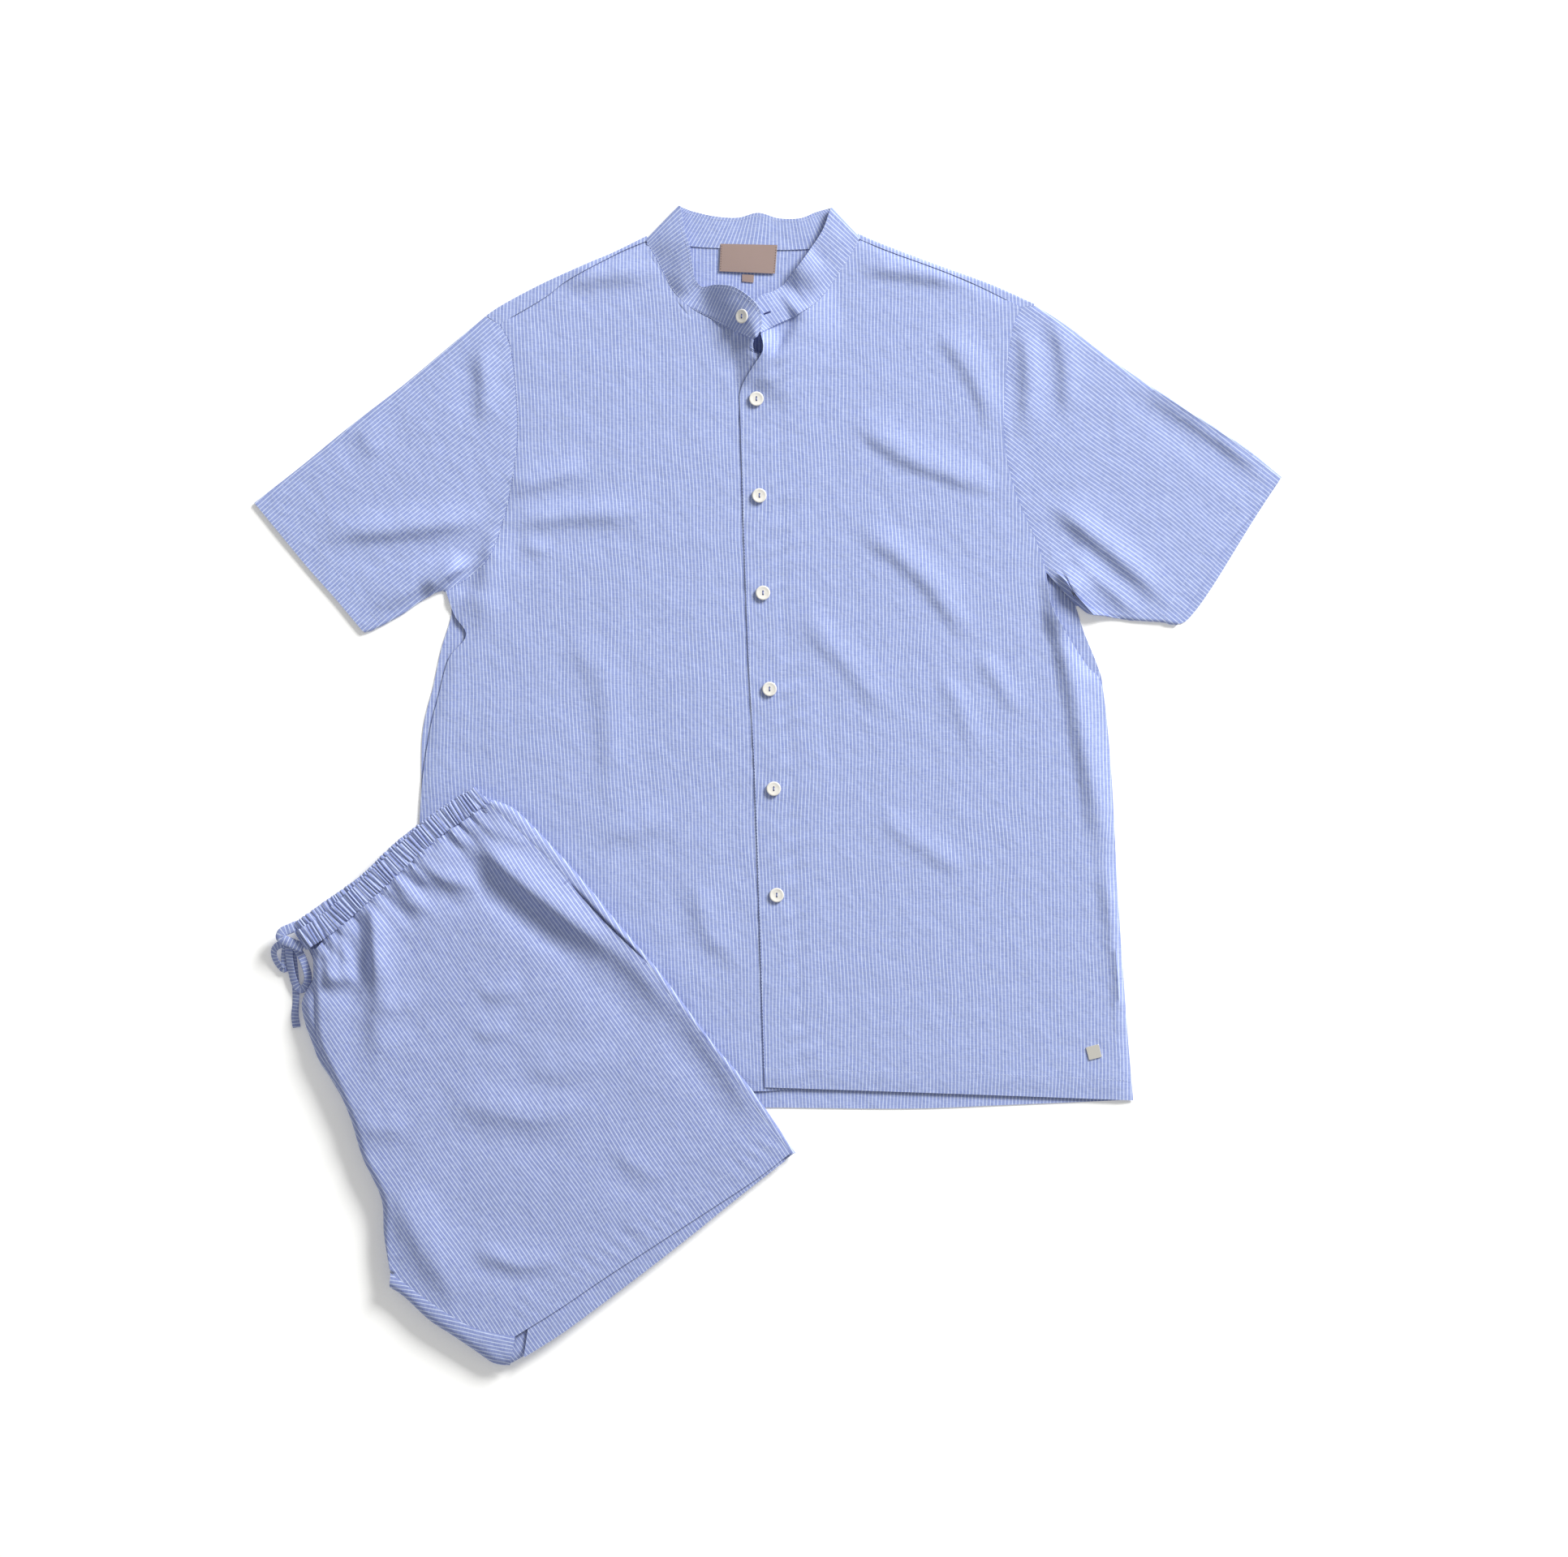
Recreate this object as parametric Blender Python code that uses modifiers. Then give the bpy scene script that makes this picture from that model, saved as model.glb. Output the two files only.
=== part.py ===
"""A band-collar shirt with short sleeves and a pair of drawstring shorts, laid flat one on the other.

Each cut piece of cloth is a sheet: rows of points between its seam and edge lines, thickened by
Solidify. X runs across the shirt, Y up it to the collar, Z up off the table. Tables are in
millimetres, read as seen from above: left means towards -X.
"""

import math
from collections import namedtuple

import bmesh
import bpy
from mathutils import Vector

MM = 0.001

# Driving sizes
CLOTH = 1.2
SEAM_GAP = 0.4
LAYER_GAP = 0.3
AIR = 1.2
FOLD_RADIUS = 1.2
LABEL_THICKNESS = 0.6
BUTTON_DIAMETER = 12.2
BUTTON_THICKNESS = 2.4
BUTTON_HOLE = 1.7
BUTTON_HOLE_PITCH = 3.4
PLATE_SIDE = 11.2
PLATE_THICKNESS = 1.0
BAND_WIDTH = 16.6
BAND_THICKNESS = 3.4
BAND_CURL = 3.2
GATHER_DEPTH = 1.1
FRONT_GATHERS = 34
BACK_GATHERS = 20
DRAWSTRING_WIDTH = 6.4
DRAWSTRING_THICKNESS = 1.6

# Heights of the middle of each laid layer
BACK_Z = CLOTH / 2
FRONT_Z = BACK_Z + CLOTH + AIR
LAP_RISE = CLOTH + LAYER_GAP
COLLAR_TIP_Z = FRONT_Z + 2 * LAP_RISE
SHIRT_TOP = FRONT_Z + CLOTH / 2

# How many cells each line of a panel is divided into
SHOULDER_CELLS = 6
NECK_CELLS = 6
ARMHOLE_CELLS = 8
SIDE_CELLS = 13
BACK_ARMHOLE_CELLS = 5
BACK_SIDE_CELLS = 8
BACK_NECK_CELLS = 4
SLEEVE_CELLS = 8
LEG_CELLS = 17
THIGH_CELLS = 12
CROTCH_ROW = 12

# Where the shirt's seams and edges lie, as (x, y)
LINES = {
    "right shoulder fold": [(-101.5, 459.5), (-151.5, 436.5), (-189, 419.5), (-235.5, 393)],
    "left shoulder fold": [(75.5, 461.5), (94, 453.5), (138.5, 436.5), (185.5, 419.5), (223.5, 402.5)],
    "right shoulder seam": [(-102.5, 455), (-126.5, 444.5), (-167.5, 422.5), (-226, 384)],
    "left shoulder seam": [(77.5, 456.5), (138.5, 433), (172.5, 419.5), (212, 399)],
    "right armhole": [(-226, 384), (-216, 366), (-211, 322), (-211, 281), (-221, 225), (-240, 184),
                      (-269.5, 162)],
    "left armhole": [(212, 399), (204.5, 379), (198.5, 331), (198.5, 283), (208, 243), (227, 203),
                     (233, 179)],
    "right back armhole": [(-235.5, 393), (-211, 322), (-221, 225), (-240, 184), (-269.5, 162)],
    "left back armhole": [(223.5, 402.5), (200, 331), (210, 243), (232, 195), (257.5, 151)],
    "right neckline": [(-11.5, 372), (-45, 388.5), (-65.5, 400), (-81, 416), (-92.5, 438.5),
                       (-102.5, 455)],
    "left neckline": [(-6, 378), (26.5, 393.5), (43.5, 406), (58.5, 426.5), (72, 448), (77.5, 456.5)],
    "back neckline": [(-101.5, 459.5), (-64.5, 451), (-39.5, 449.5), (7.5, 448), (36.5, 449),
                      (75.5, 461.5)],
    "right front edge": [(-13, 354), (2.5, 317.5), (8, 242), (13.5, 113.5), (20.5, -3.5), (27, -255)],
    "left front edge": [(-7, 377), (-4, 362), (-13.5, 348), (-22.5, 331), (-23, 311), (-16.5, 113.5),
                        (-11, 11.5), (-6, -136), (-2.5, -253.5)],
    "right side": [(-269.5, 161), (-262.5, 142), (-252.5, 125), (-267, 105), (-283, 44),
                   (-290.5, -12), (-299, -257.5)],
    "left side": [(233, 178), (238, 149), (253, 121.5), (280, 81.5), (287.5, 11.5), (293, -90.5),
                  (306, -264.5)],
    "right back side": [(-269.5, 161), (-265, 143), (-280, 83), (-289, 44), (-290.5, -12),
                        (-300, -259)],
    "left back side": [(257.5, 151), (276, 100), (281, 79.5), (287, 11.5), (292.5, -90.5), (304, -263)],
    "right hem": [(-299, -257.5), (-167.5, -260.5), (-13.5, -257), (27, -255)],
    "left hem": [(306, -264.5), (198.5, -260.5), (84.5, -256.5), (-2.5, -253.5)],
    "back hem": [(-300, -259), (-167.5, -268.5), (0, -270.5), (117, -271.5), (198.5, -268.5),
                 (304, -263)],
    "right sleeve top": [(-235.5, 393), (-265, 368.5), (-305.5, 334.5), (-391, 266.5), (-430, 236)],
    "right sleeve cuff": [(-430, 236), (-385, 181.5), (-338, 127)],
    "right sleeve underarm": [(-269.5, 162), (-289.5, 153), (-328.5, 130.5), (-338, 127)],
    "left sleeve top": [(223.5, 402.5), (249.5, 385.5), (295, 351.5), (398, 283.5), (430.5, 257.5)],
    "left sleeve cuff": [(430.5, 257.5), (386, 202), (344, 135.5)],
    "left sleeve back cuff": [(430.5, 257.5), (407.5, 222.5), (372, 165), (343.5, 133.5)],
    "left sleeve underarm": [(233, 179), (243.5, 179), (255, 156), (281.5, 141.5), (344, 135.5)],
    "left sleeve back underarm": [(257.5, 151), (281.5, 141), (308.5, 137), (343.5, 133.5)],
}

# The largest soft ridges of the shirt's upper layer: a path through three points
Fold = namedtuple("Fold", "x0 y0 x1 y1 x2 y2 half_width height")
SHIRT_FOLDS = [
    Fold(-232, 218, -300, 222, -378, 208, 26, 2.0),
    Fold(-242, 192, -280, 166, -330, 142, 24, 1.6),
    Fold(-222, 243, -185, 258, -146, 268, 26, 1.4),
    Fold(-224, 219, -170, 224, -100, 228, 26, 1.2),
    Fold(-228, 190, -240, 140, -246, 60, 26, 1.4),
    Fold(-176, 430, -130, 430, -92, 440, 26, 1.6),
    Fold(72, 432, 120, 424, 175, 412, 26, 2.0),
    Fold(138, 386, 172, 338, 190, 292, 26, 1.6),
    Fold(80, 300, 130, 270, 205, 244, 28, 1.8),
    Fold(80, 220, 125, 180, 212, 54, 30, 1.8),
    Fold(78, 100, 100, 70, 120, 40, 28, 1.2),
    Fold(86, -22, 120, -48, 172, -78, 26, 1.2),
    Fold(236, 160, 262, 40, 294, -225, 26, 2.2),
    Fold(232, 240, 276, 205, 340, 152, 26, 2.2),
    Fold(218, 380, 222, 340, 214, 290, 26, 1.4),
]

# The band collar, from each front's end (0) to the shoulder (1): the place along the neckline, and
# the top edge opposite it
CollarSection = namedtuple("CollarSection", "along x y z")
RIGHT_COLLAR = [
    CollarSection(0.00, -8.5, 375, 6.0),
    CollarSection(0.04, -5.0, 384, 6.0),
    CollarSection(0.09, -6.5, 396, 6.0),
    CollarSection(0.16, -14, 406, 6.0),
    CollarSection(0.26, -28, 415.5, 6.4),
    CollarSection(0.38, -43, 418, 9.0),
    CollarSection(0.50, -55, 417, 10.5),
    CollarSection(0.60, -61, 424, 10.5),
    CollarSection(0.70, -63, 435, 10.5),
    CollarSection(0.80, -64.5, 448, 10.0),
    CollarSection(0.90, -69, 463, 9.0),
    CollarSection(1.00, -73, 484, 7.5),
]
LEFT_COLLAR = [
    CollarSection(0.00, -8, 380.5, 4.5),
    CollarSection(0.04, -13, 390, 4.5),
    CollarSection(0.09, -12.5, 401, 4.5),
    CollarSection(0.15, -6, 409.5, 4.5),
    CollarSection(0.25, 4.5, 413, 4.9),
    CollarSection(0.35, 14, 419.5, 8.0),
    CollarSection(0.48, 24, 432, 10.5),
    CollarSection(0.60, 31.5, 442, 10.5),
    CollarSection(0.70, 36.5, 449.5, 10.0),
    CollarSection(0.80, 42, 457.5, 9.5),
    CollarSection(0.90, 47.5, 467.5, 8.5),
    CollarSection(1.00, 52.5, 482.5, 7.5),
]
BACK_COLLAR_TOP = [
    CollarSection(0.00, -71.5, 483.5, 1.8),
    CollarSection(0.12, -62, 480, 1.8),
    CollarSection(0.28, -44, 476, 2.0),
    CollarSection(0.42, -25, 475, 1.6),
    CollarSection(0.55, -8, 479, 2.4),
    CollarSection(0.68, 9, 474.5, 1.6),
    CollarSection(0.82, 27, 474.5, 2.0),
    CollarSection(0.92, 40, 479.5, 1.8),
    CollarSection(1.00, 50.5, 482.5, 1.8),
]
COLLAR_CELLS_ACROSS = 4
COLLAR_ROLL = 1.0
NECK_POINT_INSET = 4.0

LABEL_CORNERS = [(-39.5, 453), (8, 452), (6, 428), (-40.5, 430)]
SIZE_TAB_CORNERS = [(-21.5, 427.5), (-11.5, 427), (-12, 420.5), (-21.5, 421.5)]
LABEL_Z = 2.0

Button = namedtuple("Button", "x y z")
BUTTONS = [
    Button(-21, 391, COLLAR_TIP_Z),
    Button(-9.5, 323, FRONT_Z + LAP_RISE),
    Button(-7, 242, FRONT_Z + LAP_RISE),
    Button(-4, 160.5, FRONT_Z + LAP_RISE),
    Button(1.5, 80, FRONT_Z + LAP_RISE),
    Button(5, -3.5, FRONT_Z + LAP_RISE),
    Button(7.5, -92.5, FRONT_Z + LAP_RISE),
]
BUTTON_PROFILE = [(0.0, 0.45), (0.55, 0.6), (0.8, 1.0), (1.0, 0.75), (0.95, 0.15), (0.8, 0.0),
                  (0.0, 0.0)]

PLATE_CENTRE = (273, -224)
PLATE_TURN = 14.5

# The shorts: seams and edges
SHORTS_LINES = {
    "waist seam": [(-380, -140), (-363, -124), (-337.5, -102.5), (-300.5, -68), (-259, -35.5),
                   (-233, -16)],
    "rise": [(-380, -140), (-379, -175), (-376.5, -211), (-364, -243.5), (-349, -277.5),
             (-338.5, -311.5),
             (-323, -345.5), (-320, -376), (-315, -408)],
    "inseam": [(-315, -408), (-300, -419), (-272.5, -438.5), (-249, -452), (-211, -461)],
    "front hem": [(-211, -461), (-174, -438), (-132.5, -410), (-63, -365), (-11, -330), (17.5, -307)],
    "side seam": [(-233, -16), (-218.5, -29), (-185, -60), (-135.5, -113), (-104, -145), (-84, -175),
                  (-52, -212), (-16, -262), (17.5, -307)],
    "side fold": [(-230, -13), (-207.5, -24), (-179.5, -52.5), (-124.5, -117), (-96.5, -149.5),
                  (-79, -172),
                  (-44, -219), (-13, -257), (22.5, -308.5)],
    "inseam fold": [(-316, -420), (-303.5, -429), (-283, -447.5), (-262.5, -461), (-243.5, -474),
                    (-215.5, -485.5)],
    "back hem": [(-215.5, -485.5), (-166.5, -455), (-103.5, -408), (-63, -376.5), (-19.5, -341.5),
                 (22.5, -308.5)],
    "front band": [(-390.5, -130.5), (-368.5, -116.5), (-342.5, -94), (-322.5, -75.5), (-302, -56.5),
                   (-279.5, -36.5), (-254.5, -19), (-239.5, -8.5)],
    "back band": [(-393, -124), (-369, -107), (-335, -82.5), (-306, -55), (-273, -29.5), (-250, -14),
                  (-241, -10)],
    "far band": [(-391, -120), (-371, -104), (-338, -79), (-310, -53), (-278, -29.5), (-256, -14.5),
                 (-243, -6)],
}

# Height of the shorts' top layer: at the left end of the waist, and how it falls along and across
LEG_DIRECTION = Vector((0.574, -0.819))
UP_FROM_SEAM = Vector((-0.63, 0.78))
SHORTS_TOP = 20.0
FALL_ALONG = 0.0155
FALL_ACROSS = 0.026
UNDER_DROP = 2.0
LEG_TUCK = 6.0
SHORTS_FOLDS = [
    Fold(-262, -29, -181, -87, -86, -166, 32, 4.5),
    Fold(-290, -70, -226, -118, -130, -172, 34, -2.5),
    Fold(-328, -112, -327, -180, -322, -262, 26, 2.6),
    Fold(-98, -190, -42, -246, 0, -292, 30, 1.6),
    Fold(-249, -253, -167, -268, -96, -266, 30, 1.4),
    Fold(-300, -360, -262, -405, -225, -440, 30, 1.6),
    Fold(-352, -150, -356, -190, -350, -240, 24, 1.4),
]
# Where the shorts come down off the shirt to the table
SHIRT_LEFT = -300.0
SHIRT_BOTTOM = -272.0
STEP_START = 26.0
STEP_END = 62.0
OVER_SHIRT = SHIRT_TOP + 0.4
ROLL_SHARE = 0.35
ROLL_INSET = 5.0

# The far leg's edge from the table up: share of its height, and how far it draws in
EdgeRing = namedtuple("EdgeRing", "share inset")
FAR_LEG_EDGE = [
    EdgeRing(0.0, 3.2),
    EdgeRing(0.16, 0.9),
    EdgeRing(0.34, 0.7),
    EdgeRing(0.45, 2.8),
    EdgeRing(0.56, 0.9),
    EdgeRing(0.7, 2.4),
    EdgeRing(0.9, 5.2),
]
FAR_LEG_TOP_INSET = 8.0
FAR_LEG_DROP = 3.8
BAND_DROP = 3.4

# The tied drawstring: the middle of each strip, as (x, y, z)
DRAWSTRING = {
    "drawstring_left_loop": [(-408.1, -131.6, 6.3), (-414.3, -136, 5.4), (-414.8, -143, 4.2),
                             (-413, -150.5, 3.4),
                             (-408.5, -156.8, 3.0), (-404.8, -151.5, 3.0), (-404.6, -145, 3.0),
                             (-404.6, -139, 3.0)],
    "drawstring_right_loop": [(-391, -137.5, 5.2), (-389.3, -147, 3.6), (-387.3, -156, 3.4),
                              (-385, -165, 3.2),
                              (-388, -172, 3.0), (-394, -171.5, 3.0), (-396.8, -163, 3.0),
                              (-397.2, -153, 3.0),
                              (-396.6, -143, 3.0)],
    "drawstring_tail": [(-402, -148, 1.0), (-401, -160, 1.0), (-398.5, -171, 1.0), (-397, -183, 1.0),
                        (-396.7, -194, 1.0), (-395, -204.5, 1.0)],
}
KNOT_PATH = [(-406.5, -133, 6.5), (-401.5, -130.5, 7.0), (-396, -130, 8.0), (-389.6, -132.5, 8.6)]
KNOT_WIDTH = 9.5
KNOT_THICKNESS = 4.6


def smooth_line(points, cells):
    """`cells` + 1 points in equal steps along a smooth curve through `points`."""
    points = [Vector(point) for point in points]
    ends = [2 * points[0] - points[1], *points, 2 * points[-1] - points[-2]]
    steps = 12
    fine = []
    for before, start, end, after in zip(ends, ends[1:], ends[2:], ends[3:]):
        for step in range(steps):
            t = step / steps
            bend = (end - before) * (t - 2 * t**2 + t**3) + (after - start) * (t**3 - t**2)
            fine.append(start * (1 - 3 * t**2 + 2 * t**3) + end * (3 * t**2 - 2 * t**3) + bend / 2)
    fine.append(points[-1])
    travelled = [0.0]
    for start, end in zip(fine, fine[1:]):
        travelled.append(travelled[-1] + (end - start).length)
    line = []
    index = 0
    for cell in range(cells + 1):
        target = travelled[-1] * cell / cells
        while index < len(fine) - 2 and travelled[index + 1] < target:
            index += 1
        span = travelled[index + 1] - travelled[index]
        line.append(fine[index].lerp(fine[index + 1], (target - travelled[index]) / span))
    return line


def joined(*lines):
    """Lines that follow each other, as one, each shared end given once."""
    line = list(lines[0])
    for more in lines[1:]:
        line += more[1:]
    return line


def aside(line, distance):
    """The line moved sideways in the plane, to the left of its direction."""
    moved = []
    for index, point in enumerate(line):
        along = line[min(index + 1, len(line) - 1)] - line[max(index - 1, 0)]
        along.normalize()
        moved.append(point + Vector((-along.y, along.x)) * distance)
    return moved


def halved(line):
    """The line with the middle of each stretch added."""
    points = [line[0]]
    for start, end in zip(line, line[1:]):
        points += [(start + end) / 2, end]
    return points


def patch(top, bottom, left, right):
    """Rows of points across a panel with four sides, blended from its edge lines."""
    rows = []
    for row, (start, end) in enumerate(zip(left, right)):
        v = row / (len(left) - 1)
        points = []
        for column, (high, low) in enumerate(zip(top, bottom)):
            u = column / (len(top) - 1)
            corners = top[0].lerp(top[-1], u).lerp(bottom[0].lerp(bottom[-1], u), v)
            points.append(start.lerp(end, u) + high.lerp(low, v) - corners)
        rows.append(points)
    return rows


def at_height(rows, height):
    """Rows of plane points raised to `height`, a number or a function of (x, y)."""
    lift = height if callable(height) else lambda x, y: height
    return [[Vector((p.x, p.y, lift(p.x, p.y))) for p in row] for row in rows]


def ease(start, end, value):
    """0 up to `start`, 1 from `end`, and a soft step between."""
    t = min(max((value - start) / (end - start), 0.0), 1.0)
    return t * t * (3 - 2 * t)


def ridge(fold, x, y):
    """How high one fold stands at (x, y): a round ridge that fades out at both ends."""
    here = Vector((x, y))
    path = [Vector((fold.x0, fold.y0)), Vector((fold.x1, fold.y1)), Vector((fold.x2, fold.y2))]
    nearest, along = math.inf, 0.0
    for index, (start, end) in enumerate(zip(path, path[1:])):
        stretch = end - start
        t = min(max((here - start).dot(stretch) / stretch.length_squared, 0.0), 1.0)
        distance = (here - start - stretch * t).length
        if distance < nearest:
            nearest, along = distance, (index + t) / 2
    if nearest >= fold.half_width:
        return 0.0
    fade = ease(0.0, 0.2, along) * ease(0.0, 0.3, 1 - along)
    return fold.height * fade * (1 + math.cos(math.pi * nearest / fold.half_width)) / 2


def edge_x(line, y):
    """Where a line that runs down the shirt crosses the height `y`."""
    points = sorted(line, key=lambda point: point[1])
    for low, high in zip(points, points[1:]):
        if low[1] <= y <= high[1]:
            return low[0] + (high[0] - low[0]) * (y - low[1]) / (high[1] - low[1])
    return points[0][0] if y < points[0][1] else points[-1][0]


def upper_layer(x, y):
    """Middle of the shirt's upper layer: its level and the folds on it."""
    return FRONT_Z + sum(ridge(fold, x, y) for fold in SHIRT_FOLDS)


def right_front_layer(x, y):
    """The front that lies under the other, raised a little to meet the collar's end."""
    corner = math.hypot(x + 11.5, y - 372)
    return upper_layer(x, y) + 2.4 * (1 - ease(2, 18, corner))


def left_front_layer(x, y):
    """The front that laps over: one layer higher beside its edge, then down to the rest."""
    reach = x - edge_x(LINES["left front edge"], y)
    return upper_layer(x, y) + LAP_RISE * (1 - ease(52, 84, reach))


def shorts_layer(x, y):
    """Middle of the shorts' top layer: a slope that falls along and across the leg, and its folds."""
    from_waist = Vector((x, y)) - Vector(SHORTS_LINES["waist seam"][0])
    along = from_waist.dot(LEG_DIRECTION)
    across = from_waist.dot(Vector((-LEG_DIRECTION.y, LEG_DIRECTION.x)))
    slope = SHORTS_TOP - FALL_ALONG * along - FALL_ACROSS * across
    return slope + sum(ridge(fold, x, y) for fold in SHORTS_FOLDS)


def shorts_floor(x, y):
    """What the shorts rest on: the table, or the shirt where they lie on it."""
    off_shirt = max(SHIRT_LEFT - x, SHIRT_BOTTOM - y)
    return OVER_SHIRT * (1 - ease(STEP_START, STEP_END, off_shirt))


def material(name, colour, roughness, metallic=0.0):
    surface = bpy.data.materials.new(name)
    surface.use_nodes = True
    shader = surface.node_tree.nodes["Principled BSDF"]
    shader.inputs["Base Color"].default_value = (*colour, 1)
    shader.inputs["Roughness"].default_value = roughness
    shader.inputs["Metallic"].default_value = metallic
    surface.diffuse_color = (*colour, 1)
    return surface


def mesh_of_grids(name, grids):
    """A mesh through rows of points. Grids that share points are sewn together there."""
    shape = bmesh.new()
    found = {}

    def corner(point):
        key = tuple(round(value, 3) for value in point)
        if key not in found:
            found[key] = shape.verts.new(point * MM)
        return found[key]

    for rows in grids:
        for upper, lower in zip(rows, rows[1:]):
            for index in range(len(upper) - 1):
                around = (upper[index], upper[index + 1], lower[index + 1], lower[index])
                corners = list(dict.fromkeys(corner(point) for point in around))
                if len(corners) > 2:
                    shape.faces.new(corners)
    bmesh.ops.recalc_face_normals(shape, faces=shape.faces)
    mesh = bpy.data.meshes.new(name)
    shape.to_mesh(mesh)
    shape.free()
    return mesh


def place(name, mesh, surface):
    piece = bpy.data.objects.new(name, mesh)
    mesh.materials.append(surface)
    COLLECTION.objects.link(piece)
    return piece


def sheet(name, grids, surface, thickness=CLOTH):
    """A piece of cloth: an open surface through the grids, given its thickness."""
    piece = place(name, mesh_of_grids(name, grids), surface)
    wall = piece.modifiers.new("Cloth", "SOLIDIFY")
    wall.thickness = thickness * MM
    wall.offset = 0.0
    piece.data.shade_smooth()
    return piece


def closed_piece(name, grids, surface):
    """A solid whose grids close on themselves."""
    return place(name, mesh_of_grids(name, grids), surface)


def line_of(name, cells):
    return smooth_line(LINES[name], cells)


def back_neckline():
    return line_of("back neckline", BACK_NECK_CELLS + 2)


def inside_shoulder(side, turn):
    """The line inside the shoulder's fold where the cloth is level again."""
    return aside(line_of(f"{side} shoulder fold", SHOULDER_CELLS), turn * FOLD_RADIUS)


def make_back():
    """The back, flat on the table, with its yoke edge turned over the shoulders to the front."""
    shoulders, wraps = [], []
    for side, turn in (("right", 1), ("left", -1)):
        fold = line_of(f"{side} shoulder fold", SHOULDER_CELLS)
        seam = aside(line_of(f"{side} shoulder seam", SHOULDER_CELLS), -turn * SEAM_GAP / 2)
        low = inside_shoulder(side, turn)
        middle = FRONT_Z / 2 + BACK_Z / 2
        wraps.append([
            at_height([low], BACK_Z)[0],
            at_height([fold], middle)[0],
            at_height([low], FRONT_Z)[0],
            at_height([seam], upper_layer)[0],
        ])
        shoulders.append(low)
    neck = aside(back_neckline(), -SEAM_GAP / 2)
    top = joined(shoulders[0][::-1], [shoulders[0][0], *neck[1:-1], shoulders[1][0]], shoulders[1])
    bottom = line_of("back hem", len(top) - 1)
    sides = []
    for side, turn, end in (("right", 1, 0), ("left", -1, -1)):
        armhole = aside(line_of(f"{side} back armhole", BACK_ARMHOLE_CELLS), turn * SEAM_GAP / 2)
        edge = line_of(f"{side} back side", BACK_SIDE_CELLS)
        line = joined(armhole, [armhole[-1], *edge[1:]])
        line[0] = top[end]
        line[-1] = bottom[end]
        sides.append(line)
    panel = at_height(patch(top, bottom, *sides), BACK_Z)
    sheet("shirt_back", [panel, *wraps], CLOTH_SURFACE)


def make_front(side, turn, layer, edge):
    """A front, from its shoulder and neckline down to the hem."""
    shoulder = aside(line_of(f"{side} shoulder seam", SHOULDER_CELLS), turn * SEAM_GAP / 2)
    neck = aside(line_of(f"{side} neckline", NECK_CELLS), turn * SEAM_GAP / 2)
    armhole = aside(line_of(f"{side} armhole", ARMHOLE_CELLS), turn * SEAM_GAP / 2)
    top = joined(shoulder[::-1], neck[::-1])
    top[0] = armhole[0]
    bottom = line_of(f"{side} hem", len(top) - 1)
    outer = joined(armhole, [armhole[-1], *line_of(f"{side} side", SIDE_CELLS)[1:]])
    edge[0] = top[-1]
    edge[-1] = bottom[-1]
    outer[-1] = bottom[0]
    rows = at_height(patch(top, bottom, outer, edge), layer)
    sheet(f"shirt_{side}_front", [rows], CLOTH_SURFACE)
    return neck


def fold_point(upper, lower, inner):
    """The outermost point of the fold that joins two layers, beyond the one that reaches further."""
    out = Vector((upper.x - inner.x, upper.y - inner.y, 0)).normalized()
    far = max(upper, lower, key=lambda point: point.dot(out))
    return Vector((far.x, far.y, (upper.z + lower.z) / 2)) + out * FOLD_RADIUS


def make_sleeve(side, turn, back_cuff, back_underarm):
    """A sleeve as a flattened tube, open at the armhole and at the cuff."""
    armhole = aside(line_of(f"{side} armhole", ARMHOLE_CELLS), -turn * SEAM_GAP / 2)
    top = aside(line_of(f"{side} sleeve top", SLEEVE_CELLS), turn * FOLD_RADIUS)
    shoulder = inside_shoulder(side, turn)
    top[0] = shoulder[-1] + (shoulder[-1] - shoulder[-2]).normalized() * 1.5 * SEAM_GAP
    armhole = joined([top[0], armhole[0]], armhole)
    cuff = line_of(f"{side} sleeve cuff", len(armhole) - 1)
    under = aside(line_of(f"{side} sleeve underarm", SLEEVE_CELLS), -turn * FOLD_RADIUS)
    cuff[0], cuff[-1], under[0] = top[-1], under[-1], armhole[-1]
    front = at_height(zip(*patch(top, under, armhole, cuff)), upper_layer)
    back_armhole = aside(line_of(f"{side} back armhole", BACK_ARMHOLE_CELLS), -turn * SEAM_GAP / 2)
    back_armhole[0] = top[0]
    back_hem = line_of(back_cuff, BACK_ARMHOLE_CELLS)
    back_under = aside(line_of(back_underarm, SLEEVE_CELLS), -turn * FOLD_RADIUS)
    back_hem[0], back_hem[-1], back_under[0] = top[-1], back_under[-1], back_armhole[-1]
    back = at_height(zip(*patch(top, back_under, back_armhole, back_hem)), BACK_Z)
    rings = []
    for above, below in zip(front, back):
        under_fold = fold_point(above[-1], below[-1], above[-2])
        top_fold = fold_point(above[0], below[0], above[1])
        rings.append([*above, under_fold, *below[::-1], top_fold, above[0]])
    sheet(f"shirt_{side}_sleeve", [rings], CLOTH_SURFACE)


def section_points(sections, cells):
    """The collar's top edge in even steps between its sections, with the place along the seam."""
    line = smooth_line([(s.x, s.y, s.z) for s in sections], 8 * cells)
    rows = []
    for cell in range(cells + 1):
        along = cell / cells
        for start, end in zip(sections, sections[1:]):
            if start.along <= along <= end.along:
                share = (along - start.along) / (end.along - start.along)
                point = Vector((start.x, start.y, start.z)).lerp(Vector((end.x, end.y, end.z)), share)
                break
        nearest = min(line, key=lambda other: (other - point).length)
        rows.append(nearest)
    return rows


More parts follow.
